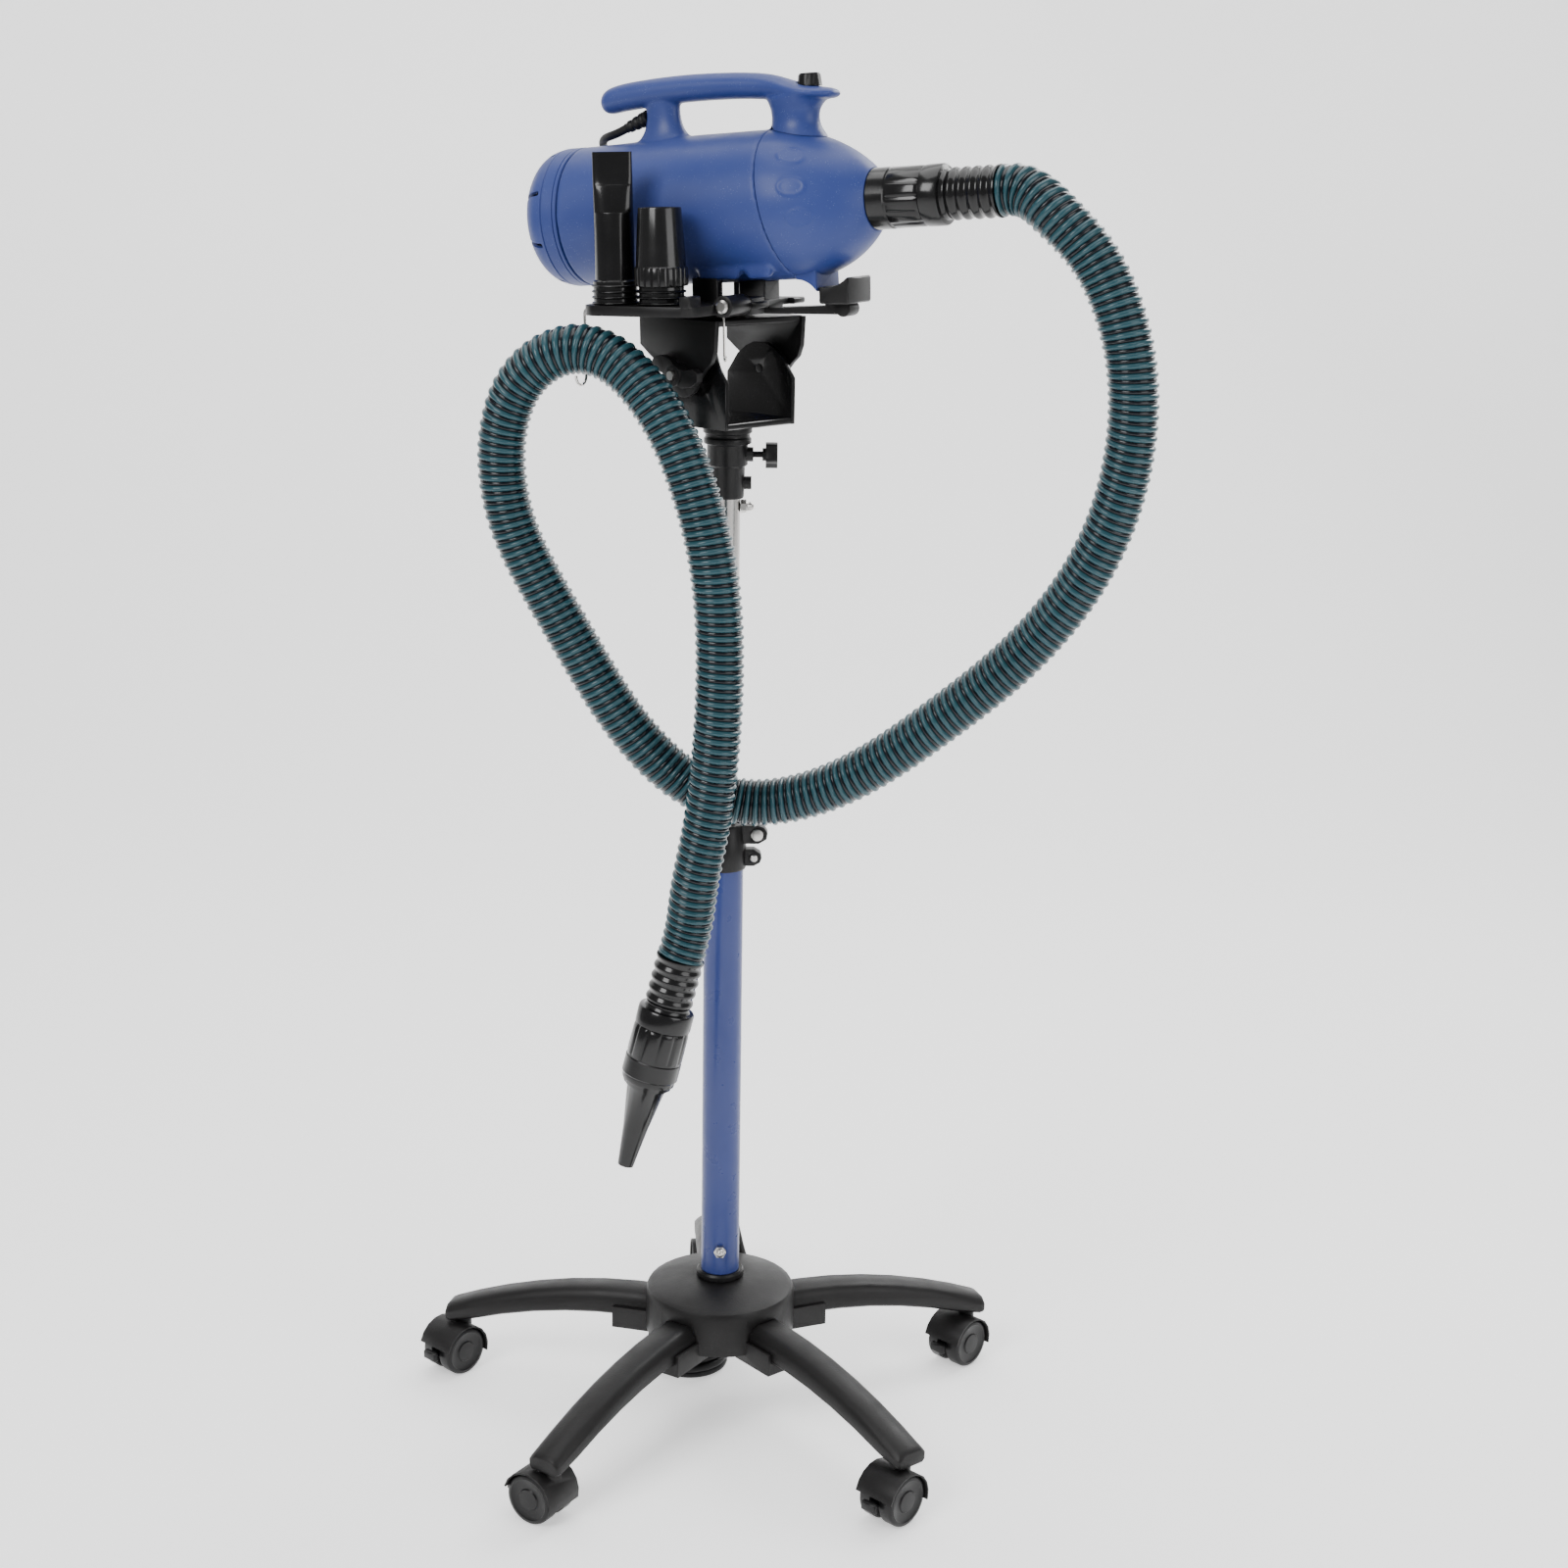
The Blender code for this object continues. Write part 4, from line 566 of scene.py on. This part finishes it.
def make_dome():
    """The dome with its embossed ovals and its front foot."""
    segments, count, inner_rows = 240, 90, 20
    rings = []
    for i in range(count + 1):
        row_x = dome_x(i / count)
        lean, radius = SEAM_LEAN * (1 - i / count), dome_radius(row_x)
        ring = []
        for a in around(segments):
            x = row_x - lean * radius * math.sin(a)
            lift = 0.0
            for oval_x, oval_angle in OVALS:
                across = (a - math.radians(oval_angle) + math.pi) % (2 * math.pi) - math.pi
                reach = math.hypot((x - oval_x) / OVAL_HALF_LENGTH, across * radius / OVAL_HALF_WIDTH)
                lift += 0.0007 * math.exp(-((reach - 1.0) / 0.11) ** 2)  # the raised rim
                lift += 0.0003 / (1.0 + math.exp((reach - 1.0) / 0.05))  # the field inside it
            ring.append((x, (radius + lift) * math.cos(a), (radius + lift) * math.sin(a)))
        rings.append(ring)
    rings.append(round_ring(NOSE_HOLE, NOSE_X, 0.0, segments))
    rings.append(round_ring(NOSE_HOLE, NOSE_X - DOME_WALL, 0.0, segments))
    for i in range(inner_rows, -1, -1):
        x = dome_x(i / inner_rows, NOSE_X - 0.004)
        radius = max(dome_radius(x) - DOME_WALL, NOSE_HOLE)
        rings.append(round_ring(radius, x, SEAM_LEAN * (1 - i / inner_rows), segments))
    dome = skin("dome", rings, LOOKS["blue_shell"], closed=True)
    settle(dome, "front_dome", DRYER, 42.0)
    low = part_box("front_dome")[0].z
    foot = box_mesh("dome_foot", (0.0425, -0.0240, -0.0900), (0.0950, 0.0240, -0.0500), 0.0020)
    rings = [[(x, y, z) for x, z in circle(0.0750, -0.0890, 0.0235)] for y in (-0.05, 0.05)]
    arch = skin("arch", rings, LOOKS["blue_shell"])
    rings = [round_ring(0.12, x, SEAM_LEAN) for x in (-0.05, BODY_SEAM + 0.0003)]
    rear = skin("rear", rings, LOOKS["blue_shell"])
    inner = skin("inner", dome_skin(-0.0015), LOOKS["blue_shell"])
    carved(foot, [arch, rear, inner])
    foot.data.transform(DRYER)
    level = box_mesh("level", (-1, -1, low - 1), (1, 1, low))
    carved(foot, [level])
    dress(foot, LOOKS["blue_shell"])
    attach(foot, "head")


LOUVRES = 8


def make_rear_cap():
    """Rear cap with seam lines and louvres around its shoulder."""
    front = BODY_REAR - 0.0004
    outer = [
        (REAR_R - 0.0012, front), (REAR_R, front - 0.0008), (REAR_R, -0.1500), (REAR_R - 0.0010, -0.1506),
        (REAR_R, -0.1512), (REAR_R, -0.1620), (REAR_R - 0.0012, -0.1630), (REAR_R - 0.0003, -0.1640),
    ]
    shoulder = smooth_line([
        (REAR_R - 0.0008, -0.1660), (0.0602, -0.1730), (0.0560, -0.1800), (0.0470, -0.1875),
        (0.0300, -0.1930), (0.0040, CAP_END),
    ], 0.0015)
    inside = [
        (0.0040, CAP_END + 0.003), (0.0440, -0.1857), (0.0540, -0.1768), (REAR_R - 0.0035, -0.1620),
        (REAR_R - 0.0035, front),
    ]
    cap = turned("rear_cap_skin", outer + [tuple(p) for p in shoulder] + inside, 128)
    slots = []
    for i in range(LOUVRES):
        slot = box_mesh("slot", (-0.1960, 0.0330, -0.0022), (-0.1665, 0.0700, 0.0022), 0.0015)
        slot.data.transform(Matrix.Rotation(2 * math.pi * (i + 0.5) / LOUVRES, 4, "X"))
        slots.append(slot)
    carved(cap, slots)
    settle(cap, "rear_cap", DRYER, 35.0)


def make_wheels():
    """Twin wheels with a rounded tread and a recessed face."""
    half = [
        (0.0040, 0.0046), (0.0235, 0.0046), (0.0250, 0.0062), (0.0250, 0.0168), (0.0243, 0.0186),
        (0.0228, 0.0196), (0.0205, 0.0199), (0.0192, 0.0190), (0.0110, 0.0188), (0.0100, 0.0200),
        (0.0030, 0.0203),
    ]
    profile = [(radius, -x) for radius, x in reversed(half)] + half
    for i in range(1, 6):
        joint = JOINTS[f"caster_{i}_roll"]
        made = turned(f"wheel_{i}", profile, closed=False)
        settle(made, f"caster_{i}_wheels", axis_frame(joint["pos_m"], joint["axis"]), 40.0)


def upright_tube(node, radius, wall):
    """A tube on the pole's axis, as long as its CAD node."""
    low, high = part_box(node)
    profile = [(radius - wall, low.z), (radius, low.z), (radius, high.z), (radius - wall, high.z)]
    made = turned(node + "_skin", profile)
    settle(made, node, axis_frame((POLE.x, POLE.y, 0.0), (0, 0, 1)), 40.0)


# Cuffs are measured in the dryer's frame: from the nose to where the hose begins. The tool's
# cuff is the same piece set down with its tail at TOOL.
CUFF_START, CUFF_END, TAIL_END = 0.1475, 0.2150, 0.2665
CUFF_SEGMENTS, CUFF_FLUTES, TAIL_ROWS, TAIL_PITCH = 120, 12, 60, 0.0103
TOOL = POLE + Vector((-0.0385, -0.1060, 0.5215))
TOOL_AXIS = Vector(JOINTS["tool_cuff_turn"]["axis"])


def cuff(node, matrix, offset):
    """Fluted cuff with a corrugated tail; offset is where the frame's origin lies along it."""
    stations = [  # radius, x, whether its surface is fluted
        (0.0232, CUFF_START, 0), (0.0262, CUFF_START, 0), (0.0268, CUFF_START + 0.0008, 0),
        (0.0268, CUFF_START + 0.0165, 0), (0.0258, CUFF_START + 0.0175, 0),
        (0.0258, CUFF_START + 0.0190, 0), (0.0266, CUFF_START + 0.0205, 1),
        (0.0264, CUFF_START + 0.0450, 1), (0.0258, CUFF_START + 0.0480, 1),
        (0.0250, CUFF_START + 0.0490, 0), (0.0264, CUFF_START + 0.0505, 0),
        (0.0266, CUFF_START + 0.0520, 0), (0.0266, CUFF_END - 0.0015, 0), (0.0256, CUFF_END, 0),
    ]
    rings = []
    for radius, x, fluted in stations:
        ring = []
        for a in around(CUFF_SEGMENTS):
            groove = 0.0011 * max(0.0, math.cos(CUFF_FLUTES * a)) ** 3 * fluted
            ring.append((x - offset, (radius - groove) * math.cos(a), (radius - groove) * math.sin(a)))
        rings.append(ring)
    for i in range(1, TAIL_ROWS + 1):
        x = CUFF_END + (TAIL_END - CUFF_END) * i / TAIL_ROWS
        radius = 0.0218 + 0.0010 * math.cos(2 * math.pi * (x - CUFF_END) / TAIL_PITCH + 0.6)
        rings.append(round_ring(radius, x - offset, segments=CUFF_SEGMENTS))
    for radius, x in ((0.0190, TAIL_END), (0.0190, 0.1860), (0.0232, 0.1820)):
        rings.append(round_ring(radius, x - offset, segments=CUFF_SEGMENTS))
    settle(skin(node + "_skin", rings, LOOKS["gloss_black"], closed=True), node, matrix)


MOUTH_DEPTH = 0.0004  # corners this near a nozzle's top are on the rim of its mouth


def nozzle_frame(node):
    """The foot of a spare nozzle: +Z up its axis, +X along its mouth."""
    axis = Vector(JOINTS[node + "_lift"]["axis"])
    corners = [NODES[node].matrix_world @ v.co for v in NODES[node].data.vertices]
    high = max(p.dot(axis) for p in corners)
    mouth = np.array([p for p in corners if p.dot(axis) > high - MOUTH_DEPTH])
    spread = mouth - mouth.mean(axis=0)
    across = Vector(np.linalg.svd(spread)[2][0])
    side = axis.cross(across)
    across = side.cross(axis)
    middle = []
    for direction in (across, side):
        reach = [p.dot(direction) for p in corners]
        middle.append((max(reach) + min(reach)) / 2)
    foot = across * middle[0] + side * middle[1] + axis * min(p.dot(axis) for p in corners)
    return Matrix.Translation(foot) @ Matrix((across, side, axis)).transposed().to_4x4()


def threads(radius, ridge, low, high, count):
    """Rounded thread ridges as (radius, height) pairs."""
    rows = []
    for share in np.linspace(0, 1, count * 12 + 1):
        ridged = max(0.0, math.sin(2 * math.pi * count * share)) ** 0.7
        rows.append((radius + (ridge - radius) * ridged, low + (high - low) * share))
    return rows


def squared(half_x, half_y, at, power, segments):
    """A ring between an oval (power 1) and a rectangle."""
    ring = []
    for a in around(segments):
        c, s = math.cos(a), math.sin(a)
        x, y = math.copysign(abs(c) ** power, c), math.copysign(abs(s) ** power, s)
        ring.append((half_x * x, half_y * y, at))
    return ring


# Rings of the flat nozzle above its threads: half length, half width, height, power.
FLAT_OUTER = [
    (0.0178, 0.0178, 0.0215, 1.0), (0.0177, 0.0174, 0.0560, 1.0), (0.0176, 0.0150, 0.0700, 0.86),
    (0.0175, 0.0110, 0.0860, 0.66), (0.0175, 0.0078, 0.1030, 0.52), (0.0175, 0.0058, 0.1180, 0.46),
    (0.0175, 0.0052, 0.1315, 0.45),
]
FLAT_INNER = [
    (0.0158, 0.0036, 0.1315, 0.45), (0.0155, 0.0066, 0.1000, 0.60), (0.0150, 0.0120, 0.0750, 0.90),
    (0.0152, 0.0152, 0.0500, 1.0), (0.0154, 0.0154, 0.0, 1.0),
]
# Rings of the wide nozzle above its threads: radius, height, whether its surface is fluted.
WIDE_RINGS = [
    (0.0205, 0.0160, 0), (0.0236, 0.0168, 0), (0.0240, 0.0178, 1), (0.0239, 0.0315, 1),
    (0.0232, 0.0328, 0), (0.0224, 0.0334, 0), (0.0192, 0.0826, 0), (0.0188, 0.0838, 0),
    (0.0182, 0.0840, 0), (0.0170, 0.0836, 0), (0.0190, 0.0345, 0), (0.0154, 0.0200, 0),
    (0.0154, 0.0, 0),
]
FLAT_SEGMENTS, WIDE_SEGMENTS, WIDE_FLUTES = 96, 192, 22


def make_nozzles():
    """The two spare nozzles in the tray, each open through its middle."""
    foot = [(radius, radius, z, 1.0) for radius, z in threads(0.0198, 0.0215, 0.0, 0.0200, 4)]
    rows = [*foot, *smooth_line(FLAT_OUTER, 0.003), *FLAT_INNER]
    rings = [squared(*row, FLAT_SEGMENTS) for row in rows]
    made = skin("flat_nozzle_skin", rings, LOOKS["gloss_black"], closed=True)
    settle(made, "flat_nozzle", nozzle_frame("flat_nozzle"))

    foot = [(radius, z, 0) for radius, z in threads(0.0200, 0.0222, 0.0, 0.0155, 3)]
    rings = []
    for radius, z, fluted in foot + WIDE_RINGS:
        ring = []
        for a in around(WIDE_SEGMENTS):
            out = radius - 0.0010 * fluted * max(0.0, math.cos(WIDE_FLUTES * a)) ** 4
            ring.append((out * math.cos(a), out * math.sin(a), z))
        rings.append(ring)
    made = skin("wide_nozzle_skin", rings, LOOKS["gloss_black"], closed=True)
    settle(made, "wide_nozzle", nozzle_frame("wide_nozzle"))


# Widths of the rounded edges; a node that isn't here keeps its CAD edges.
BEVELS = {
    "hub": 0.0016, "tilt_yoke": 0.0008, "swivel_bracket": 0.0008, "cradle": 0.0006,
    "accessory_tray": 0.0010, "clamp_collar": 0.0006, "socket_sleeve": 0.0004,
    "thumb_screw": 0.0006, "tilt_lever": 0.0012, "tilt_nut": 0.0006,
}
BEVELS.update({f"leg_{i}": 0.0022 for i in range(1, 6)})
BEVELS.update({f"caster_{i}_housing": 0.0006 for i in range(1, 6)})
BEVELS.update({f"caster_{i}_brake": 0.0008 for i in range(1, 6)})


def make_skins():
    """A finer skin for every hard node; the hose and the cord are made apart."""
    make_housing()
    make_dome()
    make_rear_cap()
    make_wheels()
    upright_tube("column_tube", 0.0190, 0.0015)
    upright_tube("mast_tube", 0.0125, 0.0013)
    cuff("dryer_cuff", DRYER, 0.0)
    cuff("tool_cuff", axis_frame(TOOL, TOOL_AXIS), TAIL_END)
    make_nozzles()
    for node in list(SHOWN):
        if node not in ("hose_tube", "mains_cord", "cord_coil"):
            soften(node, BEVELS.get(node, 0.0))


# --------------------------------------------------------------------- hose

# Middle lines as (x, y, z) from the pole's foot: the hose from the dryer to the tool, and the
# cord from the dryer to the coil.
HOSE_ROUTE = [
    (0.2769, -0.1520, 1.2049), (0.3072, -0.1630, 1.1732), (0.3314, -0.1710, 1.1288),
    (0.3459, -0.1740, 1.0750), (0.3481, -0.1700, 1.0098), (0.3338, -0.1580, 0.9352),
    (0.3029, -0.1420, 0.8683), (0.2580, -0.1240, 0.8090), (0.1980, -0.1030, 0.7514),
    (0.1374, -0.0840, 0.7019), (0.0754, -0.0680, 0.6686), (0.0198, -0.0610, 0.6600),
    (-0.0238, -0.0600, 0.6724), (-0.0661, -0.0600, 0.7051), (-0.1024, -0.0590, 0.7505),
    (-0.1355, -0.0570, 0.8049), (-0.1690, -0.0550, 0.8636), (-0.1935, -0.0540, 0.9157),
    (-0.2037, -0.0540, 0.9695), (-0.2000, -0.0550, 1.0127), (-0.1825, -0.0600, 1.0513),
    (-0.1583, -0.0655, 1.0715), (-0.1328, -0.0710, 1.0786), (-0.1025, -0.0790, 1.0704),
    (-0.0780, -0.0870, 1.0500), (-0.0523, -0.0980, 1.0145), (-0.0278, -0.1080, 0.9577),
    (-0.0106, -0.1140, 0.8898), (-0.0042, -0.1150, 0.8050), (-0.0067, -0.1150, 0.7281),
    (-0.0164, -0.1120, 0.6444), (-0.0268, -0.1090, 0.5853),
]
CORD_ROUTE = [
    (-0.1148, 0.0747, 1.2594), (-0.1194, 0.0929, 1.2541), (-0.1168, 0.1108, 1.2435),
    (-0.1083, 0.1233, 1.2298), (-0.0943, 0.1283, 1.2120), (-0.0751, 0.1266, 1.1914),
    (-0.0543, 0.1195, 1.1722), (-0.0309, 0.1036, 1.1485),
    (-0.0240, 0.1040, 1.1050), (-0.0160, 0.0990, 1.0640), (-0.0060, 0.0840, 1.0240),
    (0.0000, 0.0650, 0.9780), (0.0000, 0.0500, 0.9150), (0.0000, 0.0410, 0.8400),
    (0.0000, 0.0370, 0.7400), (0.0000, 0.0360, 0.6200), (0.0000, 0.0360, 0.4800),
    (0.0000, 0.0360, 0.3400), (0.0020, 0.0400, 0.2600), (0.0080, 0.0560, 0.2050),
    (0.0150, 0.0750, 0.1680), (0.0215, 0.0895, 0.1330), (0.0285, 0.1010, 0.1000),
    (0.0270, 0.1080, 0.0740), (0.0110, 0.1135, 0.0535), (-0.0120, 0.1140, 0.0470),
    (-0.0320, 0.1130, 0.0466),
]
# Outer diameter, rib pitch, rows to a rib, and the share of the pitch that the teal rib takes.
HOSE_D, HOSE_PITCH, HOSE_STEPS, HOSE_TEAL = 0.045, 0.0086, 10, 0.6
HOSE_VALLEY, HOSE_COLUMNS = HOSE_D / 2 - 0.0026, 36
END_GAP = 0.0003  # left between a line's end and the piece it meets


def on_pole(knots):
    """Knots of the pole's frame in the world."""
    return [POLE + Vector(knot) for knot in knots]


def rib_radius(phase):
    """Rounded teal rib, then a narrow dark spiral in the valley."""
    if phase < HOSE_TEAL:
        return HOSE_VALLEY + 0.0025 * math.sin(math.pi * phase / HOSE_TEAL) ** 0.6
    return HOSE_VALLEY + 0.0010 * math.sin(math.pi * (phase - HOSE_TEAL) / (1 - HOSE_TEAL))


def helix_skin(name, points, steps, columns, looks):
    """A ribbed tube whose rows follow the helix: steps rows to a rib, and points a row apart."""
    sides, others = frames_along(points)
    last = len(points) - 1
    rows = last + steps
    vertices = []
    for row in range(rows + 1):
        radius = rib_radius(row % steps / steps)
        for column in range(columns):
            at = min(max(row - steps * column / columns, 0.0), float(last))
            near = min(int(at), last - 1)
            share, angle = at - near, 2 * math.pi * column / columns
            centre = points[near] * (1 - share) + points[near + 1] * share
            side = sides[near] * (1 - share) + sides[near + 1] * share
            other = others[near] * (1 - share) + others[near + 1] * share
            vertices.append(centre + radius * (math.cos(angle) * side + math.sin(angle) * other))
    faces, marks = [], []  # a mark is the face's look: 0 the rib, 1 the spiral
    for row in range(rows):
        mark = 1 if row % steps / steps >= HOSE_TEAL else 0
        for column in range(columns - 1):
            here = row * columns + column
            faces.append((here, here + 1, here + columns + 1, here + columns))
            marks.append(mark)
        edge = row * columns + columns - 1
        if row >= steps:
            faces.append((edge, (row - steps) * columns, (row + 1 - steps) * columns, edge + columns))
        else:
            faces.append((edge, 0, edge + columns))
        marks.append(mark)
    end = rows * columns + columns - 1
    for row in range(last, rows):
        faces.append((end, row * columns, (row + 1) * columns))
        marks.append(0)
    faces += [tuple(range(columns))[::-1], tuple(range(rows * columns, rows * columns + columns))]
    marks += [0, 0]
    mesh = bpy.data.meshes.new(name)
    mesh.from_pydata([tuple(v) for v in vertices], [], faces)
    made = bpy.data.objects.new(name, mesh)
    bpy.context.scene.collection.objects.link(made)
    dress(made, *looks, angle=60.0)
    mesh.polygons.foreach_set("material_index", marks)
    return made


def make_hose():
    """The ribbed hose from the dryer's cuff to the tool's."""
    start = DRYER @ Vector((TAIL_END + END_GAP, 0, 0))
    lead = DRYER @ Vector((TAIL_END + 0.015, 0, 0))
    knots = [start, lead, *on_pole(HOSE_ROUTE), TOOL + TOOL_AXIS * 0.030, TOOL + TOOL_AXIS * END_GAP]
    points = smooth_line(knots, HOSE_PITCH / HOSE_STEPS)
    made = helix_skin("hose", points, HOSE_STEPS, HOSE_COLUMNS, (LOOKS["hose_teal"], SPIRAL))
    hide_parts("hose_tube")
    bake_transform(made)


# --------------------------------------------------------------- mains cord

CORD_D, CORD_SPACING = 0.008, 0.004
# The strain relief, in the dryer's frame.
RELIEF = Vector((-0.0775, 0.0, 0.0850))
RELIEF_AXIS = Vector((-0.95, 0.10, -0.30)).normalized()
RELIEF_LENGTH = 0.0270
COIL_LAYERS, COIL_OUT, COIL_TURNS, COIL_STEP, COIL_ROWS = 4, 0.0400, 2.0, 0.0080, 72
# Heights where the cord passes from the dryer's run to the mount's, and from that to the mast's.
SPLITS = (0.80 + POLE_ZERO, 0.46 + POLE_ZERO)


def coil_line(centre, top):
    """The spare cord: flat spirals of two turns, stacked, wound inwards and outwards in turn."""
    points = []
    angle, height = math.pi, top
    for layer in range(COIL_LAYERS):
        inwards = layer % 2 == 0
        for i in range(COIL_ROWS):
            share = i / COIL_ROWS
            out = COIL_OUT - COIL_STEP * COIL_TURNS * (share if inwards else 1 - share)
            turn = angle + 2 * math.pi * COIL_TURNS * share
            drop = COIL_STEP * min(share / 0.12, 1.0) if layer else 0.0
            points.append((centre.x + out * math.cos(turn), centre.y + out * math.sin(turn), height - drop))
        angle += 2 * math.pi * COIL_TURNS
        height -= COIL_STEP if layer else 0.0
    return points


def make_cord():
    """The mains cord in three runs, split where it passes from one moving body to the next, ending in the
    coil.
    """
    tip = DRYER @ (RELIEF + RELIEF_AXIS * (RELIEF_LENGTH + END_GAP))
    lead = DRYER @ (RELIEF + RELIEF_AXIS * (RELIEF_LENGTH + 0.0130))
    low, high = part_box("cord_coil")
    centre = (low + high) / 2
    hang = smooth_line([tip, lead, *on_pole(CORD_ROUTE)], CORD_SPACING)
    first, second = (next(i for i, p in enumerate(hang) if p[2] < split) for split in SPLITS)
    top = high.z - CORD_D / 2 - 0.0004
    dive = []  # a quarter turn that leads the cord down and round into the coil's top layer
    for share in np.linspace(0.15, 0.95, 8):
        turn = math.pi / 2 * (1 + share)
        out = 0.036 + 0.004 * min(share * 2.5, 1.0)
        height = hang[-1][2] + (top - hang[-1][2]) * max(0.0, (share - 0.3) / 0.7) ** 1.2
        dive.append((centre.x + out * math.cos(turn), centre.y + out * math.sin(turn), height))
    knots = [*hang[-12:-1:4], hang[-1], *dive, *coil_line(centre, top)]
    coiled = smooth_line([tuple(knot) for knot in knots], CORD_SPACING)
    lower = np.concatenate([hang[second:-12], coiled])
    runs = [  # name, points, bodies and heights it runs between, far end, pieces at that end
        ("cord_upper", hang[:first + 1], ("head", "swivel"), (1.09, 0.99), "object", ()),
        ("cord_middle", hang[first:second + 1], ("swivel", "mast"), (0.78, 0.48), "object", ()),
        ("cord_lower", lower, ("mast", "base"), (0.43, 0.26), "plug", ("mains_plug",)),
    ]
    for name, points, bodies, heights, far_end, pieces in runs:
        made = sweep(name, points, CORD_D / 2 - 0.0001, 14, LOOKS["black_rubber"])
        if name == "cord_lower":
            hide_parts("mains_cord", "cord_coil")
        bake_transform(made)


make_skins()
make_hose()
make_cord()

# ------------------------------------------------------- floor, light, camera


def backdrop_look(base, glow):
    """White paper that gives off a little light of its own."""
    made = Shader("backdrop_look", 0.9, Emission_Color=(1.0, 1.0, 1.0, 1.0), Emission_Strength=glow)
    made.colour(made.drift(3.0, 3.0, base, 0.01, 0.0))
    return made.material


LIGHTS = [  # name, where it is, where it points, size, watts
    ("key", (-1.7, -2.1, 2.7), (0.0, 0.0, 0.85), 1.5, 78.0),
    ("fill", (2.3, -1.9, 1.7), (0.0, 0.0, 0.8), 1.8, 40.0),
    ("top", (0.0, 0.2, 3.4), (0.0, 0.0, 0.6), 2.4, 60.0),
    ("rim", (1.4, 1.3, 2.2), (0.0, 0.0, 1.0), 1.2, 34.0),
]


def make_stage():
    """A backdrop that curves up behind the dryer, four area lights and an even sky."""
    near, far, reach, rise, bend = -7.0, 1.6, 6.0, 5.0, 1.2
    profile = [(near, 0.0), (far, 0.0)]
    for a in np.radians(range(10, 91, 10)):
        profile.append((far + bend * math.sin(a), bend * (1 - math.cos(a))))
    profile.append((far + bend, rise))
    mesh = bpy.data.meshes.new("backdrop")
    vertices = [(x, y, z) for y, z in profile for x in (-reach, reach)]
    faces = [(2 * i, 2 * i + 1, 2 * i + 3, 2 * i + 2) for i in range(len(profile) - 1)]
    mesh.from_pydata(vertices, [], faces)
    mesh.shade_smooth()
    backdrop = bpy.data.objects.new("backdrop", mesh)
    bpy.context.scene.collection.objects.link(backdrop)
    mesh.materials.append(backdrop_look((0.93, 0.93, 0.93), 0.62))
    for name, at, target, size, power in LIGHTS:
        lamp = bpy.data.lights.new(name, "AREA")
        lamp.size = size
        lamp.energy = power
        made = bpy.data.objects.new(name, lamp)
        made.location = at
        made.rotation_euler = (Vector(target) - Vector(at)).to_track_quat("-Z", "Y").to_euler()
        bpy.context.scene.collection.objects.link(made)
    world = bpy.data.worlds.new("studio")
    world.use_nodes = True
    sky = world.node_tree.nodes["Background"].inputs
    sky["Color"].default_value = (1.0, 1.0, 1.0, 1.0)
    sky["Strength"].default_value = 0.34
    bpy.context.scene.world = world


# The photo's camera: millimetres, degrees to the left, down and about the view, and its place.
LENS, SENSOR = 58.25, 36.0
YAW, PITCH, ROLL = -0.91, 14.89, 0.88
EYE = (POLE.x + 0.0198, POLE.y - 2.352, 1.278)


def make_camera():
    """The camera that matches the photo's."""
    camera = bpy.data.cameras.new("camera")
    camera.lens = LENS
    camera.sensor_width = SENSOR
    made = bpy.data.objects.new("camera", camera)
    turn = Matrix.Rotation(math.radians(YAW), 4, "Z") @ Matrix.Rotation(math.radians(90 - PITCH), 4, "X")
    turn = turn @ Matrix.Rotation(math.radians(ROLL), 4, "Z")
    made.matrix_world = Matrix.Translation(EYE) @ turn
    bpy.context.scene.collection.objects.link(made)
    bpy.context.scene.camera = made


make_stage()
make_camera()
